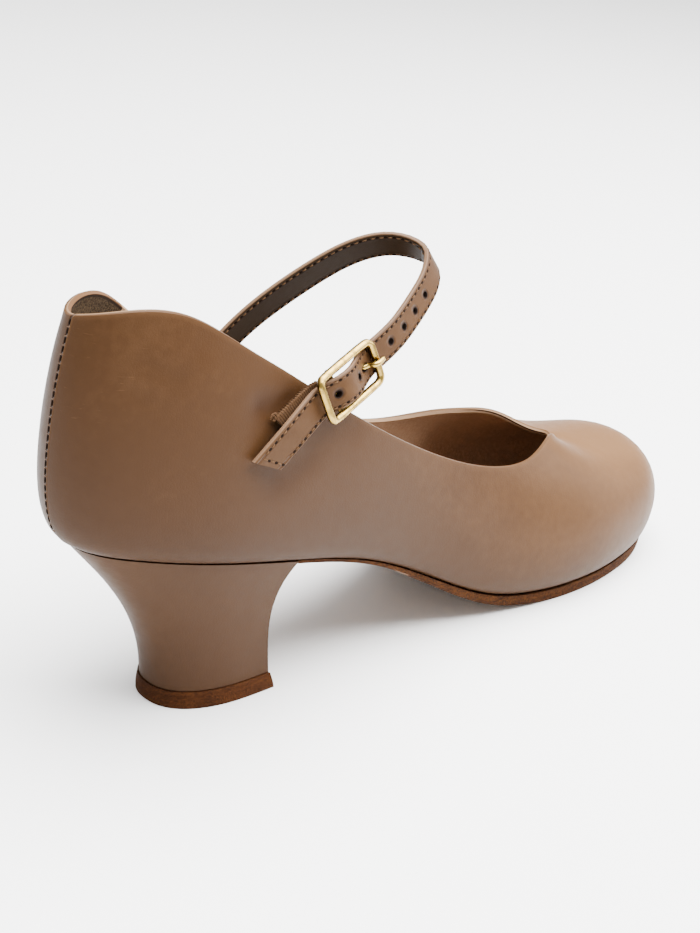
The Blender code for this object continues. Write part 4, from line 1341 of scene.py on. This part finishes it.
@dataclass
class Studio:
    """Floor, lights and camera."""

    floor: StudioFloor
    turn: float = 44.179
    lift: float = 24.23
    roll: float = 5.223
    distance: float = 531.78 * MM
    lens: float = 69.46
    sky: float = 0.75
    target: tuple[float, float, float] = (57.562 * MM, 2.2 * MM, 52.791 * MM)
    floor_reach: float = 3.0
    floor_drop: float = 0.1 * MM
    lights: tuple[tuple[str, tuple[float, float, float], float, float], ...] = (
        ("top_light", (0.25, -0.10, 1.0), 1.2, 92.0),
        ("front_light", (0.80, -0.40, 0.55), 0.6, 11.0),
        ("back_light", (-0.3, 0.9, 1.0), 1.8, 6.0),
    )

    def lay_floor(self) -> None:
        """A wide pale floor."""
        signs = ((-1, -1), (1, -1), (1, 1), (-1, 1))
        corners = [(x * self.floor_reach, y * self.floor_reach, 0) for x, y in signs]
        floor = mesh_piece("studio_floor", corners, [(0, 1, 2, 3)], self.floor.build())
        floor.location.z = -self.floor_drop
        bpy.context.scene.collection.objects.link(floor)

    def add_light(self, name: str, spot: tuple[float, float, float], size: float, power: float) -> None:
        """Adds one soft square light that faces the shoe.

        Args:
            name: The light's name.
            spot: Where it hangs.
            size: Its side in metres.
            power: Its power in watts.
        """
        lamp = bpy.data.lights.new(name, "AREA")
        lamp.shape = "SQUARE"
        lamp.size = size
        lamp.energy = power
        holder = bpy.data.objects.new(name, lamp)
        holder.location = spot
        holder.rotation_mode = "QUATERNION"
        holder.rotation_quaternion = (Vector(self.target) - Vector(spot)).to_track_quat("-Z", "Y")
        bpy.context.scene.collection.objects.link(holder)

    def set_light(self) -> None:
        """Even white surroundings and three soft lights."""
        world = bpy.data.worlds.new("studio_air")
        world.use_nodes = True
        back = world.node_tree.nodes["Background"]
        back.inputs[0].default_value = (1.0, 1.0, 1.0, 1.0)
        back.inputs[1].default_value = self.sky
        bpy.context.scene.world = world
        for light in self.lights:
            self.add_light(*light)

    def set_camera(self) -> None:
        """The photograph's view."""
        turn, lift, roll = (math.radians(a) for a in (self.turn, self.lift, self.roll))
        back = Vector((-math.sin(turn) * math.cos(lift), -math.cos(turn) * math.cos(lift), math.sin(lift)))
        right = Vector((math.cos(turn), -math.sin(turn), 0.0))
        up = back.cross(right)
        across = right * math.cos(roll) + up * math.sin(roll)
        over = up * math.cos(roll) - right * math.sin(roll)
        lens = bpy.data.cameras.new("photo_lens")
        lens.lens = self.lens
        lens.clip_start = 0.01
        camera = bpy.data.objects.new("photo_camera", lens)
        place = Vector(self.target) + back * self.distance
        rows = [(across[k], over[k], back[k], place[k]) for k in range(3)]
        camera.matrix_world = Matrix([*rows, (0, 0, 0, 1)])
        bpy.context.scene.collection.objects.link(camera)
        bpy.context.scene.camera = camera

    def build(self) -> None:
        """Sets up the whole studio."""
        self.lay_floor()
        self.set_light()
        self.set_camera()


def main() -> None:
    """Builds and dresses every piece."""
    logging.basicConfig(level=logging.INFO, format="%(message)s")
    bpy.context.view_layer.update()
    Studio(StudioFloor("studio_floor")).build()
    upper = Upper(
        UpperLeather("tan_leather"),
        Lining(
            "brown_lining",
            # Painted light: these colours are set several times lighter than the lining's own, to make up for
            # the little light that reaches inside the throat.
            dark=(0.29, 0.180, 0.108),
            light=(0.34, 0.218, 0.136),
            nap=1.2 * MM,
            streak=1.0,
            bloom=0.0,
            # Painted shade: the turned edge is set dark, as the leather's edge in shade.
            turned=(0.030, 0.013, 0.006),
            turned_width=0.7 * MM,
            line=(0.22, 0.135, 0.078),
            line_width=0.8 * MM,
        ),
        Lining(
            "grey_counter_lining",
            dark=(0.0125, 0.0066, 0.0028),
            light=(0.0800, 0.0500, 0.0250),
            nap=0.42 * MM,
            streak=1.0,
            bloom=0.0,
        ),
        Thread("seam_thread", (0.055, 0.026, 0.012), (0.125, 0.068, 0.035)),
        # Painted shade for the seam's slots.
        painted_hole_shade("seam_slot"),
    )
    upper.dress(upper.build())
    Bottom(
        Leather("sock_leather", (0.070, 0.036, 0.018), (0.120, 0.066, 0.037), (0.18, 0.105, 0.063), 0.6),
        CutEdge("sole_edge"),
        Suede("sole_suede", (0.075, 0.038, 0.018), (0.14, 0.080, 0.042)),
        Leather("heel_leather"),
        CutEdge("lift_edge", (0.0130, 0.0040, 0.0011), (0.0640, 0.0215, 0.0060), 0.8 * MM, 0.24 * MM, 0.9),
        CutEdge("lift_face", (0.020, 0.008, 0.004), (0.060, 0.024, 0.010), 2.0 * MM, 0.8 * MM),
    ).dress()
    line = StrapLine()
    sewing = Thread("strap_thread", (0.058, 0.028, 0.012), (0.118, 0.066, 0.033))
    # The needle holes' finish is painted shade.
    strap = Strap(line, StrapLeather("strap_leather"), sewing, painted_hole_shade("needle_hole"))
    strap.stitch(strap.build())
    coil = Thread("coil_thread", (0.028, 0.0125, 0.0052), (0.085, 0.0430, 0.0190))
    Buckle(line, PaleBrass("pale_brass"), Elastic("tan_elastic"), coil).build()


if __name__ == "__main__":
    main()
